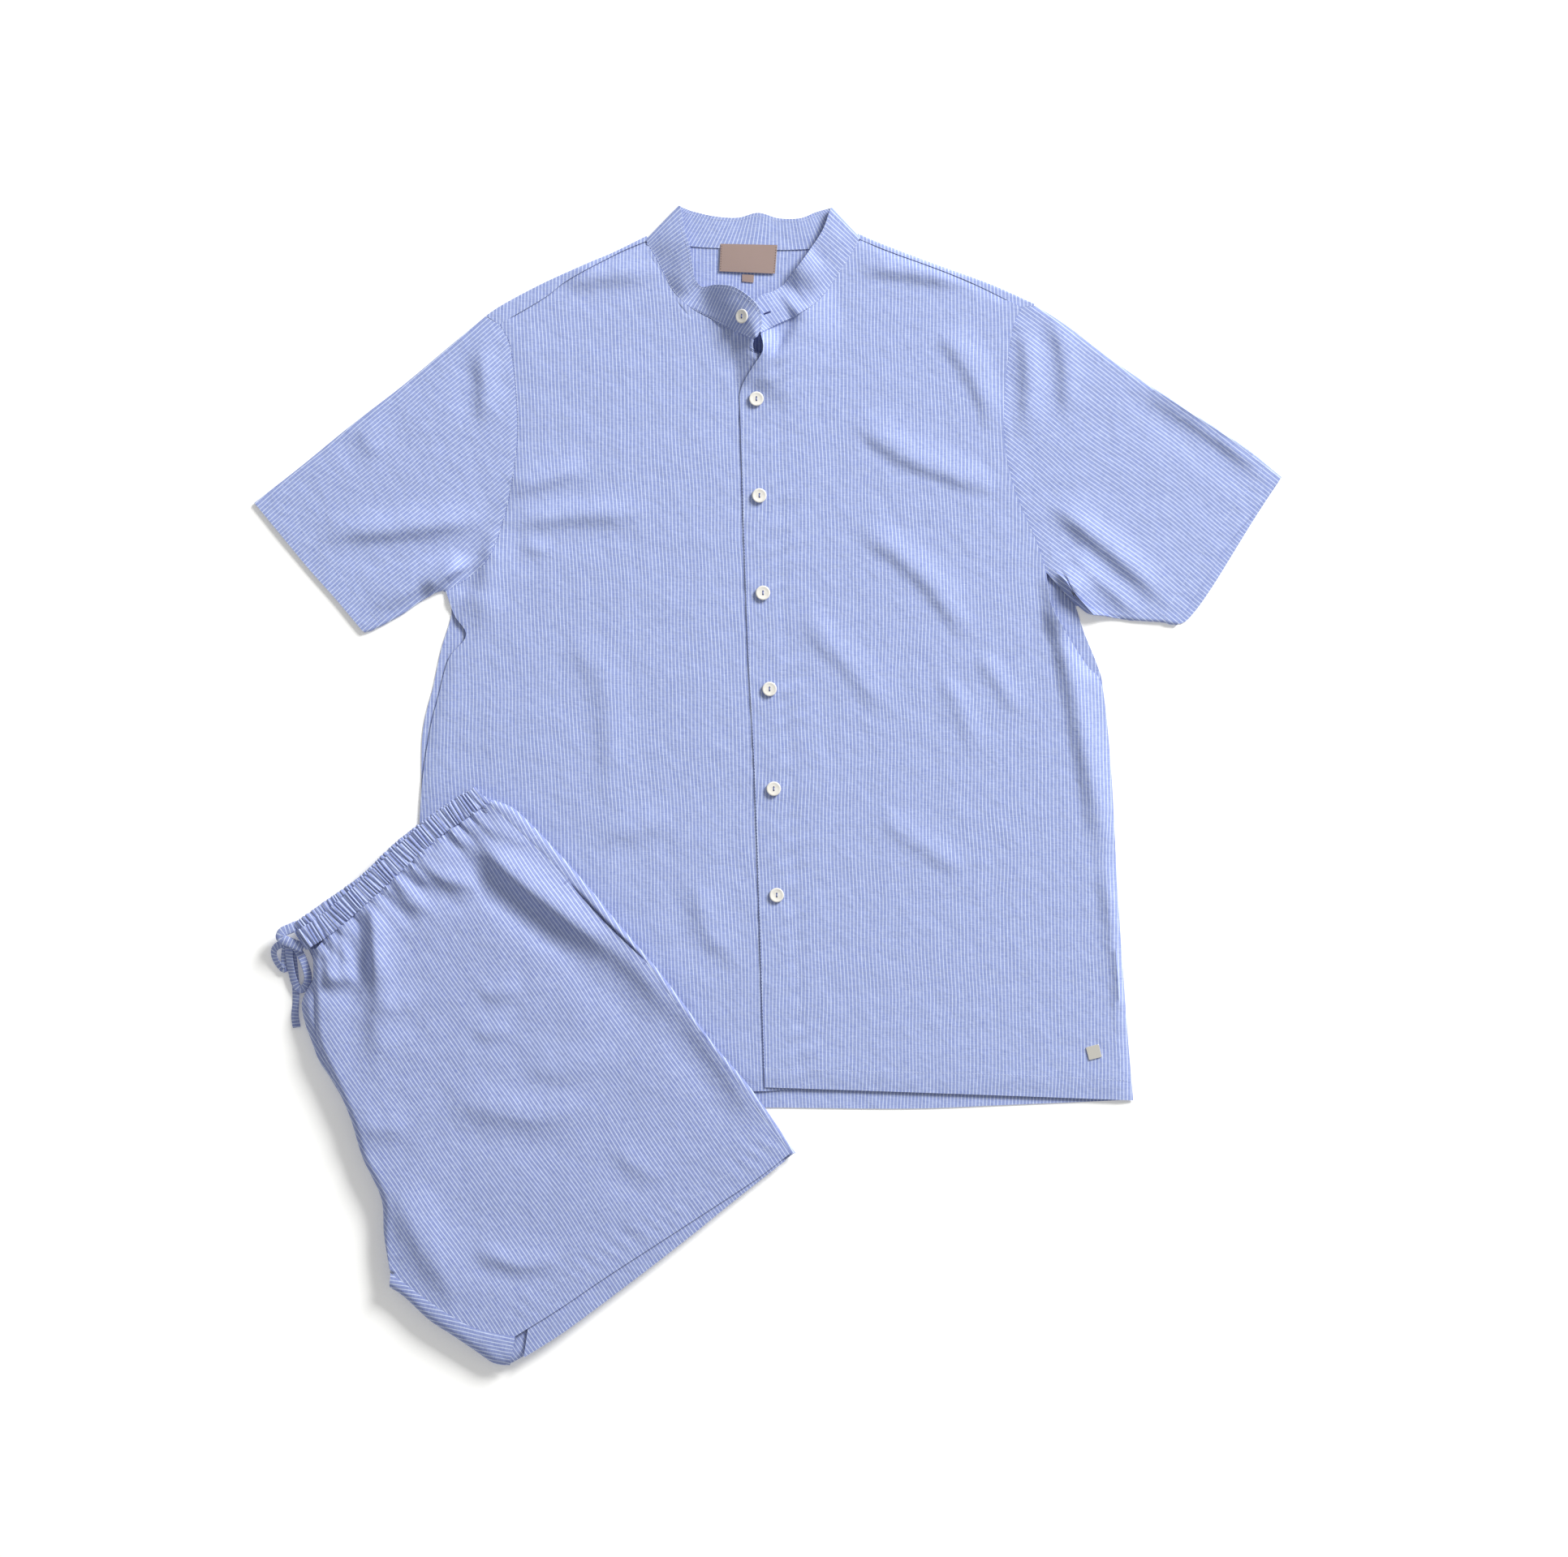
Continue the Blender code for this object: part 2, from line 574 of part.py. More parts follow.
def band(seam, top):
    """Rows across the collar, from its seam to its top edge, rolled out a little in the middle."""
    rows = []
    for low, high in zip(seam, top):
        row = []
        for step in range(COLLAR_CELLS_ACROSS + 1):
            share = step / COLLAR_CELLS_ACROSS
            lift = Vector((0, 0, COLLAR_ROLL * math.sin(math.pi * share) * ease(6.5, 9, high.z)))
            row.append(low.lerp(high, share) + lift)
        rows.append(row)
    return rows


def make_collar(right_neck, left_neck):
    """The band collar: one strip round the neck, its back flat and its two ends lapped at the front."""
    parts = []
    for neck, turn, sections, layer in (
        (right_neck, -1, RIGHT_COLLAR, right_front_layer),
        (left_neck, 1, LEFT_COLLAR, left_front_layer),
    ):
        seam = at_height([halved(aside(neck, turn * SEAM_GAP))], layer)[0]
        if sections is RIGHT_COLLAR:
            for index, point in enumerate(seam):
                reach = index / (len(seam) - 1)
                point.z += (COLLAR_TIP_Z - point.z) * (1 - ease(0.2, 0.42, reach))
        parts.append(band(seam, section_points(sections, len(seam) - 1)))
    neck = aside(back_neckline(), SEAM_GAP / 2)
    for end, side, turn in ((0, "right", 1), (-1, "left", -1)):
        neck[end] = inside_shoulder(side, turn)[0] + Vector((turn * NECK_POINT_INSET, CLOTH))
    back_seam = at_height([halved(neck)], BACK_Z)[0]
    back_seam[0].z += SEAM_GAP
    back_seam[-1].z += SEAM_GAP
    parts[0][-1][0].x += NECK_POINT_INSET
    parts[1][-1][0].x -= NECK_POINT_INSET
    back = band(back_seam, section_points(BACK_COLLAR_TOP, len(back_seam) - 1))
    turns = []
    for front_row, back_row, inner in ((parts[0][-1], back[0], back[1]),
    (parts[1][-1], back[-1], back[-2])):
        turns.append([fold_point(a, b, c) for a, b, c in zip(front_row, back_row, inner)])
    rows = [*parts[0], turns[0], *back, turns[1], *parts[1][::-1]]
    sheet("shirt_collar", [rows], CLOTH_SURFACE)


def flat_piece(name, corners, cells, z, surface):
    """A small woven piece with straight edges."""
    a, b, c, d = [Vector(point) for point in corners]
    across, down = cells
    top = smooth_line([a, b], across)
    bottom = smooth_line([d, c], across)
    left = smooth_line([a, d], down)
    right = smooth_line([b, c], down)
    sheet(name, [at_height(patch(top, bottom, left, right), z)], surface, LABEL_THICKNESS)


def make_buttons():
    """Seven sewn buttons of one turned shape, dished inside a rim, with two holes one above the other."""
    profile = bpy.data.meshes.new("button profile")
    radius = BUTTON_DIAMETER / 2 * MM
    points = [(share * radius, 0, height * BUTTON_THICKNESS * MM) for share, height in BUTTON_PROFILE]
    profile.from_pydata(points, [(i, i + 1) for i in range(len(points) - 1)], [])
    turned = bpy.data.objects.new("button blank", profile)
    CUTTERS.objects.link(turned)
    screw = turned.modifiers.new("Turn", "SCREW")
    screw.steps = screw.render_steps = 12
    screw.use_merge_vertices = True
    screw.merge_threshold = 0.00001
    turned.hide_render = True
    turned.display_type = "WIRE"
    drill_mesh = bmesh.new()
    for y in (-BUTTON_HOLE_PITCH / 2, BUTTON_HOLE_PITCH / 2):
        hole = bmesh.ops.create_cone(
            drill_mesh, cap_ends=True, segments=6, radius1=BUTTON_HOLE / 2 * MM,
            radius2=BUTTON_HOLE / 2 * MM, depth=3 * BUTTON_THICKNESS * MM)
        bmesh.ops.translate(drill_mesh, verts=hole["verts"], vec=(0, y * MM, 0))
    drill_data = bpy.data.meshes.new("button drill")
    drill_mesh.to_mesh(drill_data)
    drill_mesh.free()
    drill = bpy.data.objects.new("button drill", drill_data)
    CUTTERS.objects.link(drill)
    drill.hide_render = True
    drill.display_type = "WIRE"
    holes = turned.modifiers.new("Holes", "BOOLEAN")
    holes.object = drill
    bpy.context.view_layer.update()
    graph = bpy.context.evaluated_depsgraph_get()
    finished = bpy.data.meshes.new_from_object(turned.evaluated_get(graph))
    bpy.data.objects.remove(turned)
    bpy.data.objects.remove(drill)
    for number, spot in enumerate(BUTTONS, 1):
        button = place(f"button_{number}", finished.copy(), BUTTON_SURFACE)
        button.location = Vector((spot.x, spot.y, spot.z + CLOTH / 2 + LAYER_GAP)) * MM


def make_plate():
    """The small square metal plate sewn on near the hem, its edges rounded."""
    shape = bmesh.new()
    bmesh.ops.create_cube(shape, size=1)
    bmesh.ops.scale(shape, verts=shape.verts, vec=Vector((PLATE_SIDE, PLATE_SIDE, PLATE_THICKNESS)) * MM)
    mesh = bpy.data.meshes.new("metal_plate")
    shape.to_mesh(mesh)
    shape.free()
    plate = place("metal_plate", mesh, METAL_SURFACE)
    top = left_front_layer(*PLATE_CENTRE) + CLOTH / 2
    plate.location = Vector((*PLATE_CENTRE, top + LAYER_GAP + PLATE_THICKNESS / 2)) * MM
    plate.rotation_euler.z = math.radians(PLATE_TURN)
    edges = plate.modifiers.new("Edges", "BEVEL")
    edges.width = 0.25 * MM
    edges.segments = 2


def shorts_line(name, cells):
    return smooth_line(SHORTS_LINES[name], cells)


def flat_line(name, cells):
    return at_height([shorts_line(name, cells)], 0.0)[0]


def rolled_edge(line, turn):
    """The rows that carry a leg's top layer over its outer edge and part of the way down."""
    rows = []
    for inset, share in ((ROLL_INSET, 0.0), (1.9, 0.3), (0.6, 1.0)):
        row = []
        for p, q in zip(line, aside(line, turn * inset)):
            top = shorts_layer(p.x, p.y)
            depth = ROLL_SHARE * (top - shorts_floor(p.x, p.y))
            row.append(Vector((q.x, q.y, top - share * depth)))
        rows.append(row)
    return rows


def leg_patch():
    """Rows from the waist seam to the front hem, and across from the rise and inseam to the side seam."""
    top = shorts_line("waist seam", THIGH_CELLS)
    bottom = shorts_line("front hem", THIGH_CELLS)
    rise = shorts_line("rise", CROTCH_ROW)
    inseam = shorts_line("inseam", LEG_CELLS - CROTCH_ROW)
    left = joined(aside(rise, ROLL_INSET), [rise[-1], *inseam[1:]])
    left[CROTCH_ROW] = (left[CROTCH_ROW] + rise[-1]) / 2
    right = shorts_line("side seam", LEG_CELLS)
    top[0], bottom[0], top[-1], bottom[-1] = left[0], left[-1], right[0], right[-1]
    return patch(top, bottom, left, right), rise


def make_near_leg(plane, rise):
    """The front of the upper leg, its rise rolled over the left edge."""
    inset = [[*row[:-1], row[-1] + (row[-2] - row[-1]).normalized() * SEAM_GAP] for row in plane]
    rows = at_height(inset, shorts_layer)
    roll = rolled_edge(rise, 1)
    roll[0] = [row[0] for row in rows[:CROTCH_ROW + 1]]
    sheet("shorts_near_leg_front", [rows, list(zip(*roll))], CLOTH_SURFACE)
    return rows


def below(point, depth):
    return point - Vector((0, 0, depth))


def margin(seam, beside, edge):
    """Columns of the back leg: from under the front's edge, up flush beside it, and over the fold."""
    columns = []
    for point, inner, fold in zip(seam, beside, edge):
        width = math.hypot(fold.x - point.x, fold.y - point.y)
        out = Vector((fold.x - point.x, fold.y - point.y, 0)) / width
        tuck = point.lerp(inner, LEG_TUCK / (inner - point).length)
        depth = ROLL_SHARE * (point.z - shorts_floor(fold.x, fold.y))
        over = Vector((fold.x, fold.y, point.z))
        columns.append([
            below(tuck, UNDER_DROP + CLOTH / 3),
            below(point, UNDER_DROP) + out * 0.2,
            below(point, 0.5) + out * (SEAM_GAP + 1.4),
            over - out * max(0.3 * width, min(ROLL_INSET, 0.45 * width)),
            below(over - out * 0.12 * width, 0.3 * depth),
            below(over - out * 0.5, depth),
        ])
    return columns


def make_near_leg_back(rows):
    """The back of the upper leg where it shows: beside the side seam, at the hem and along the inseam."""
    side = margin([row[-1] for row in rows], [row[-2] for row in rows], flat_line("side fold", LEG_CELLS))
    last = rows[-1]
    hem_top = [below(point.lerp(above, 0.45), UNDER_DROP + 0.3) for point, above in zip(last, rows[-2])]
    hem_line = [below(point, UNDER_DROP + 0.3) for point in last]
    hem_edge = at_height([shorts_line("back hem", THIGH_CELLS)], shorts_layer)[0]
    hem_edge = [below(point, UNDER_DROP + 0.3) for point in hem_edge]
    for line, clear in ((hem_top, 0.8), (hem_line, 0.8), (hem_edge, 0.25)):
        line[0] = line[0].lerp(line[1], clear)
    hem_edge[-1] = hem_edge[-1].lerp(hem_edge[-2], 0.25)
    hem_line[-1] = side[-1][0]
    hem_top[-1] = side[-2][0]
    sheet("shorts_near_leg_back", [side, [hem_top, hem_line, hem_edge]], CLOTH_SURFACE)
    inseam_rows = rows[CROTCH_ROW:]
    edge = flat_line("inseam fold", LEG_CELLS - CROTCH_ROW)
    strip = margin([row[0] for row in inseam_rows], [row[1] for row in inseam_rows], edge)
    sheet("shorts_near_leg_inseam", [strip], CLOTH_SURFACE)


def make_far_leg():
    """The hidden layers of both legs as one rounded solid, with a groove round its edge."""
    top = shorts_line("far band", THIGH_CELLS)
    left = joined(
        [top[0], Vector(SHORTS_LINES["rise"][0])],
        shorts_line("rise", CROTCH_ROW),
        [Vector(SHORTS_LINES["rise"][-1]), *shorts_line("inseam fold", LEG_CELLS - CROTCH_ROW)[1:]])
    right_fold = shorts_line("side fold", LEG_CELLS)
    right = joined([top[-1], right_fold[0]], right_fold)
    bottom = shorts_line("back hem", THIGH_CELLS)
    outline = patch(top, bottom, left, right)
    loop = [*outline[0], *[row[-1] for row in outline[1:-1]], *outline[-1][::-1],
            *[row[0] for row in outline[-2:0:-1]]]
    centre = sum(loop, Vector((0, 0))) / len(loop)

    def drawn_in(index, inset):
        before, here, after = loop[index - 1], loop[index], loop[(index + 1) % len(loop)]
        along = (after - before).normalized()
        normal = Vector((-along.y, along.x))
        if normal.dot(centre - here) < 0:
            normal = -normal
        return here + normal * inset

    def crest(x, y):
        above_seam = (Vector((x, y)) - Vector(SHORTS_LINES["waist seam"][0])).dot(UP_FROM_SEAM)
        return shorts_layer(x, y) - FAR_LEG_DROP - BAND_DROP * ease(-6, 6, above_seam)

    rings = []
    for ring in [*FAR_LEG_EDGE, EdgeRing(1.0, FAR_LEG_TOP_INSET)]:
        points = []
        for index, here in enumerate(loop):
            low = shorts_floor(here.x, here.y)
            high = crest(here.x, here.y)
            spot = drawn_in(index, ring.inset)
            points.append(Vector((spot.x, spot.y, low + ring.share * (high - low))))
        rings.append([*points, points[0]])
    caps = []
    for ring, height in ((rings[0], shorts_floor), (rings[-1], crest)):
        columns, lines = len(outline[0]), len(outline)
        rim = ring[:-1]
        flat = [Vector((p.x, p.y)) for p in rim]
        top_rim = flat[:columns]
        right_rim = flat[columns - 1:columns + lines - 1]
        bottom_rim = flat[columns + lines - 2:2 * columns + lines - 2][::-1]
        left_rim = [flat[0], *flat[2 * columns + lines - 3:][::-1]]
        inside = at_height(patch(top_rim, bottom_rim, left_rim, right_rim), height)
        inside[0] = rim[:columns]
        inside[-1] = rim[columns + lines - 2:2 * columns + lines - 2][::-1]
        for row in range(1, lines - 1):
            inside[row][-1] = rim[columns + row - 1]
            inside[row][0] = rim[-row]
        caps.append(inside)
    closed_piece("shorts_far_leg", [rings, *caps], CLOTH_SURFACE)


def make_band(name, line, gathers, sides, drop):
    """Half of the elastic waistband: a flat padded tube, its outer points raised into gathers."""
    stations = 4 * gathers
    path = shorts_line(line, stations)
    across = [q - p for p, q in zip(path, aside(path, 1))]
    rings = []
    for index, (point, out) in enumerate(zip(path, across)):
        wave = GATHER_DEPTH * math.cos(2 * math.pi * index / 4)
        curl = BAND_CURL * (1 - ease(0, 3, index)) + BAND_CURL / 6 * (1 - ease(0, 3, stations - index))
        z = shorts_layer(point.x, point.y) - drop - curl
        ring = []
        for step in range(sides):
            angle = 2 * math.pi * step / sides
            wide = math.copysign(abs(math.cos(angle)) ** 0.6, math.cos(angle)) * BAND_WIDTH / 2
            tall = math.sin(angle) * BAND_THICKNESS / 2
            raised = wave * max(0.0, math.sin(angle)) * 0.5
            spot = point + out * (wide - 0.25)
            ring.append(Vector((spot.x, spot.y, z + tall + raised)))
        rings.append([*ring, ring[0]])
    centres = [sum(ring[:-1], Vector()) / sides for ring in (rings[0], rings[-1])]
    ends = [[[centre] * (sides + 1), ring] for centre, ring in zip(centres, (rings[0], rings[-1]))]
    closed_piece(name, [rings, *ends], CLOTH_SURFACE)


def make_strip(name, points, width, thickness, cells):
    """A flat strip of folded cloth along a route, with closed ends."""
    path = smooth_line(points, cells)
    rings = []
    for index, point in enumerate(path):
        along = path[min(index + 1, cells)] - path[max(index - 1, 0)]
        out = Vector((-along.y, along.x, 0)).normalized()
        rings.append([
            point + out * width * a + Vector((0, 0, thickness * b))
            for a, b in ((-0.5, 0), (-0.36, 0.5), (0.36, 0.5), (0.5, 0), (0.36, -0.5), (-0.36, -0.5),
            (-0.5, 0))
        ])
    ends = [[[point] * len(ring), ring] for point, ring in ((path[0], rings[0]), (path[-1], rings[-1]))]
    closed_piece(name, [rings, *ends], CLOTH_SURFACE)


for old in list(bpy.data.objects):
    bpy.data.objects.remove(old)

COLLECTION = bpy.data.collections.new("Shirt and shorts set")
CUTTERS = bpy.data.collections.new("Cutters")
bpy.context.scene.collection.children.link(COLLECTION)
bpy.context.scene.collection.children.link(CUTTERS)

CLOTH_SURFACE = material("Blue striped cotton", (0.36, 0.44, 0.76), 0.85)
LABEL_SURFACE = material("Rose satin", (0.42, 0.30, 0.27), 0.45)
BUTTON_SURFACE = material("Mother of pearl", (0.80, 0.79, 0.74), 0.25)
METAL_SURFACE = material("Pale metal", (0.66, 0.63, 0.58), 0.3, 1.0)

make_back()
right_edge = [Vector(LINES["right neckline"][0]), *line_of("right front edge", ARMHOLE_CELLS + SIDE_CELLS - 1)]
right_neck = make_front("right", 1, right_front_layer, right_edge)
left_neck = make_front("left", -1, left_front_layer, line_of("left front edge", ARMHOLE_CELLS + SIDE_CELLS))
make_sleeve("right", 1, "right sleeve cuff", "right sleeve underarm")
make_sleeve("left", -1, "left sleeve back cuff", "left sleeve back underarm")
make_collar(right_neck, left_neck)
flat_piece("neck_label", LABEL_CORNERS, (4, 2), LABEL_Z, LABEL_SURFACE)
flat_piece("size_tab", SIZE_TAB_CORNERS, (1, 1), LABEL_Z, LABEL_SURFACE)
make_buttons()
make_plate()

leg, rise_line = leg_patch()
front_rows = make_near_leg(leg, rise_line)
make_near_leg_back(front_rows)
make_far_leg()
make_band("waistband_front", "front band", FRONT_GATHERS, 8, 0.0)
make_band("waistband_back", "back band", BACK_GATHERS, 6, BAND_THICKNESS + GATHER_DEPTH)
for strip_name, route in DRAWSTRING.items():
    make_strip(strip_name, route, DRAWSTRING_WIDTH, DRAWSTRING_THICKNESS, 2 * len(route))
make_strip("drawstring_knot", KNOT_PATH, KNOT_WIDTH, KNOT_THICKNESS, 4)
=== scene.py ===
import math

import bmesh
import bpy
import numpy as np
from mathutils import Matrix


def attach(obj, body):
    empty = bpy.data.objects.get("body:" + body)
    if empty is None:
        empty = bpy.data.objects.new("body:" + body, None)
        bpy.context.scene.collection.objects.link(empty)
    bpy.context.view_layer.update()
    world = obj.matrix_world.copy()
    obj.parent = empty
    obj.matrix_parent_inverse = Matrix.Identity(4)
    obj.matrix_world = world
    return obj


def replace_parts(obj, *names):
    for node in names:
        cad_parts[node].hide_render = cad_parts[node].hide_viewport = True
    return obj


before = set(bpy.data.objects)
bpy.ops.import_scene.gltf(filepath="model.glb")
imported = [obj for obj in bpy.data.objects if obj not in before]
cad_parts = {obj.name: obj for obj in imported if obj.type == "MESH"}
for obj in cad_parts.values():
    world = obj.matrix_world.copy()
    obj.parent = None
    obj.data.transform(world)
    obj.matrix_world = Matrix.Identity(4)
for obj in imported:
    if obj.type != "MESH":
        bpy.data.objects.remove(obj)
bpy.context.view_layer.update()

# Camera: straight above the table, as in the photograph. One pixel is 0.68 mm of table, and the
# long lens from 5 m keeps the raised cloth from leaning outwards.
MM = 0.001
PIXEL = 0.68
WIDE, HIGH = 1932, 1919
ORIGIN_PIXEL = (946, 967)
CAMERA_HEIGHT = 5.0
SENSOR = 36
camera = bpy.data.objects.new("camera", bpy.data.cameras.new("camera"))
bpy.context.scene.collection.objects.link(camera)
camera.location = ((WIDE / 2 - ORIGIN_PIXEL[0]) * PIXEL * MM, (ORIGIN_PIXEL[1] - HIGH / 2) * PIXEL * MM,
                   CAMERA_HEIGHT)
camera.data.sensor_width = SENSOR
camera.data.lens = SENSOR * CAMERA_HEIGHT / (WIDE * PIXEL * MM)
camera.data.clip_end = 20
bpy.context.scene.camera = camera

# Table: a plain white sweep. The light is a wide soft lamp far to the upper right in an even
# white room, so the shadows fall softly down and to the left.
TABLE_SIDE = 9
BELOW_FLOOR = 0.0002
TABLE_GLOW = 0.13
ROOM_LIGHT = 0.46


def srgb(code):
    """A colour from its usual #rrggbb code, in Blender's linear values."""
    parts = [int(code[i:i + 2], 16) / 255 for i in (1, 3, 5)]
    return tuple(c / 12.92 if c <= 0.04045 else ((c + 0.055) / 1.055) ** 2.4 for c in parts) + (1,)


def new_material(name, colour, roughness, metallic=0.0):
    surface = bpy.data.materials.new(name)
    surface.use_nodes = True
    shader = surface.node_tree.nodes["Principled BSDF"]
    shader.inputs["Base Color"].default_value = srgb(colour)
    shader.inputs["Roughness"].default_value = roughness
    shader.inputs["Metallic"].default_value = metallic
    return surface, shader


bpy.ops.mesh.primitive_plane_add(size=TABLE_SIDE, location=(0, 0, -BELOW_FLOOR))
table = bpy.context.object
table.name = "table"
# white opal sheet: matt, and faintly lit from beneath, so that it stays paler than the cloth's shadows
table_top, table_shader = new_material("white_table", "#F8F8F6", 0.6)
table_shader.inputs["Emission Color"].default_value = (1, 0.99, 0.97, 1)  # warm white
table_shader.inputs["Emission Strength"].default_value = TABLE_GLOW
table.data.materials.append(table_top)

world = bpy.data.worlds.new("room")
world.use_nodes = True
world.node_tree.nodes["Background"].inputs["Color"].default_value = (1, 1, 1, 1)
world.node_tree.nodes["Background"].inputs["Strength"].default_value = ROOM_LIGHT
bpy.context.scene.world = world
bpy.context.scene.view_settings.view_transform = "Standard"


def lamp(name, size, power, place):
    """A square lamp that faces the middle of the table."""
    light = bpy.data.lights.new(name, "AREA")
    light.size = size
    light.energy = power
    made = bpy.data.objects.new(name, light)
    made.location = place
    made.rotation_euler = (-made.location).to_track_quat("-Z", "Y").to_euler()
    bpy.context.scene.collection.objects.link(made)


lamp("window", 2.2, 620, (3.8, 4.1, 3.4))

# Striped cotton: one woven cloth for every panel, blue with fine white stripes 3 mm apart. The
# stripes follow each panel's own grain, kept on its points as "cloth": across and along, in mm.
STRIPE_PITCH = 3.0
STRIPE_DRIFT = 9.0  # mm a stripe may wander
# Uneven patches per mm, across and along the cloth. Real yarns are 0.2 mm thick, too fine to show, so
# they are drawn at 0.4 mm.
WARP_STREAKS = (2.4, 0.14, 1.0)  # 0.4 by 7 mm
WEFT_STREAKS = (0.11, 1.9, 1.0)  # 9 by 0.5 mm
WRINKLES = (0.22, 0.34, 1.0)  # 4.5 by 3 mm
CRINKLE = 0.055  # 18 mm
DRIFT = 0.009  # 110 mm


def node(tree, kind, inputs=(), **settings):
    """Adds a shader node, sets it up and links or fills its inputs."""
    made = tree.nodes.new(kind)
    for name, value in settings.items():
        setattr(made, name, value)
    for socket, value in dict(inputs).items():
        if isinstance(value, bpy.types.NodeSocket):
            tree.links.new(value, made.inputs[socket])
        else:
            made.inputs[socket].default_value = value
    return made


def striped_cotton(name, ground, line):
    """Plain-weave cotton: thin pale stripes with soft edges on a blue ground, yarns a little uneven, and
    the fine crinkle of washed cloth. It is matt, with a faint sheen from the loose fibres."""
    surface, shader = new_material(name, ground, 0.8)
    tree = surface.node_tree
    grain = node(tree, "ShaderNodeAttribute", attribute_name="cloth").outputs["Vector"]

    # stripes, which wander a little across the cloth
    drift = node(tree, "ShaderNodeTexNoise", {"Vector": grain, "Scale": DRIFT, "Detail": 1.0}).outputs["Fac"]
    split = node(tree, "ShaderNodeSeparateXYZ", {0: grain})
    shifted = node(tree, "ShaderNodeMath", {0: drift, 1: STRIPE_DRIFT, 2: split.outputs["X"]},
                   operation="MULTIPLY_ADD").outputs[0]
    phase = node(tree, "ShaderNodeMath", {0: shifted, 1: STRIPE_PITCH / 2}, operation="PINGPONG").outputs[0]
    stripe = node(tree, "ShaderNodeMapRange", {0: phase, 1: 0.06 * STRIPE_PITCH, 2: 0.19 * STRIPE_PITCH},
                  interpolation_type="SMOOTHSTEP").outputs[0]

    # uneven yarns, both ways
    yarns = []
    for streaks in (WARP_STREAKS, WEFT_STREAKS):
        place = node(tree, "ShaderNodeVectorMath", {0: grain, 1: streaks}, operation="MULTIPLY").outputs[0]
        yarns.append(node(tree, "ShaderNodeTexNoise", {"Vector": place, "Scale": 1.0, "Detail": 2.0}))
    both = node(tree, "ShaderNodeMath", {0: yarns[0].outputs["Fac"], 1: yarns[1].outputs["Fac"]},
                operation="ADD").outputs[0]
    uneven = node(tree, "ShaderNodeMapRange", {0: both, 1: 0.7, 2: 1.3, 3: -0.24, 4: 0.30},
                  clamp=False).outputs[0]
    amount = node(tree, "ShaderNodeMath", {0: stripe, 1: uneven}, operation="ADD").outputs[0]
    # a Mix node's colours are its inputs 6 and 7 and its output 2
    mixed = node(tree, "ShaderNodeMix", {"Factor": amount, 6: srgb(line), 7: srgb(ground)}, data_type="RGBA",
                 clamp_factor=False)
    tree.links.new(mixed.outputs[2], shader.inputs["Base Color"])

    # a soft crinkle with fine wrinkles on it
    crinkle = node(tree, "ShaderNodeTexNoise", {"Vector": grain, "Scale": CRINKLE, "Detail": 3.0,
                                                "Roughness": 0.5}).outputs["Fac"]
    place = node(tree, "ShaderNodeVectorMath", {0: grain, 1: WRINKLES}, operation="MULTIPLY").outputs[0]
    wrinkle = node(tree, "ShaderNodeTexNoise", {"Vector": place, "Scale": 1.0, "Detail": 3.0}).outputs["Fac"]
    soft = node(tree, "ShaderNodeBump", {"Height": crinkle, "Strength": 1.0, "Distance": 0.0013})
    fine = node(tree, "ShaderNodeBump", {"Height": wrinkle, "Strength": 1.0, "Distance": 0.00026,
                                         "Normal": soft.outputs[0]})
    tree.links.new(fine.outputs[0], shader.inputs["Normal"])
    shader.inputs["Sheen Weight"].default_value = 0.1
    shader.inputs["Sheen Roughness"].default_value = 0.5
    shader.inputs["Specular IOR Level"].default_value = 0.25
    return surface


# the shirt's cloth, and a copy of it for the shorts with a little darker colours: painted shade, for the
# shade the shorts lie in
SHIRT_COTTON = striped_cotton("striped_cotton", "#909DCB", "#C1CCE6")
SHADED_SHORTS_COTTON = striped_cotton("striped_cotton_shorts_painted_shade", "#8A96C4", "#BFCAE3")

# Shirt back: one panel from the hem to the neckline, whose yoke edge turns over the shoulders
# and is sewn to the fronts a little in front of the fold. It lies flat on the table.
BACK_Z = 0.6
FRONT_Z = 3.0
SHOULDER_INSET = 1.3
# how far the turn at each shoulder lies in from the fold, and its height
SHOULDER_TURN = [(SHOULDER_INSET, BACK_Z), (0.35, 1.05), (0.0, 1.8), (0.45, 2.7)]
# points along each kind of edge
COUNT = {"shoulder": 32, "neck": 30, "armhole": 60, "side": 108}
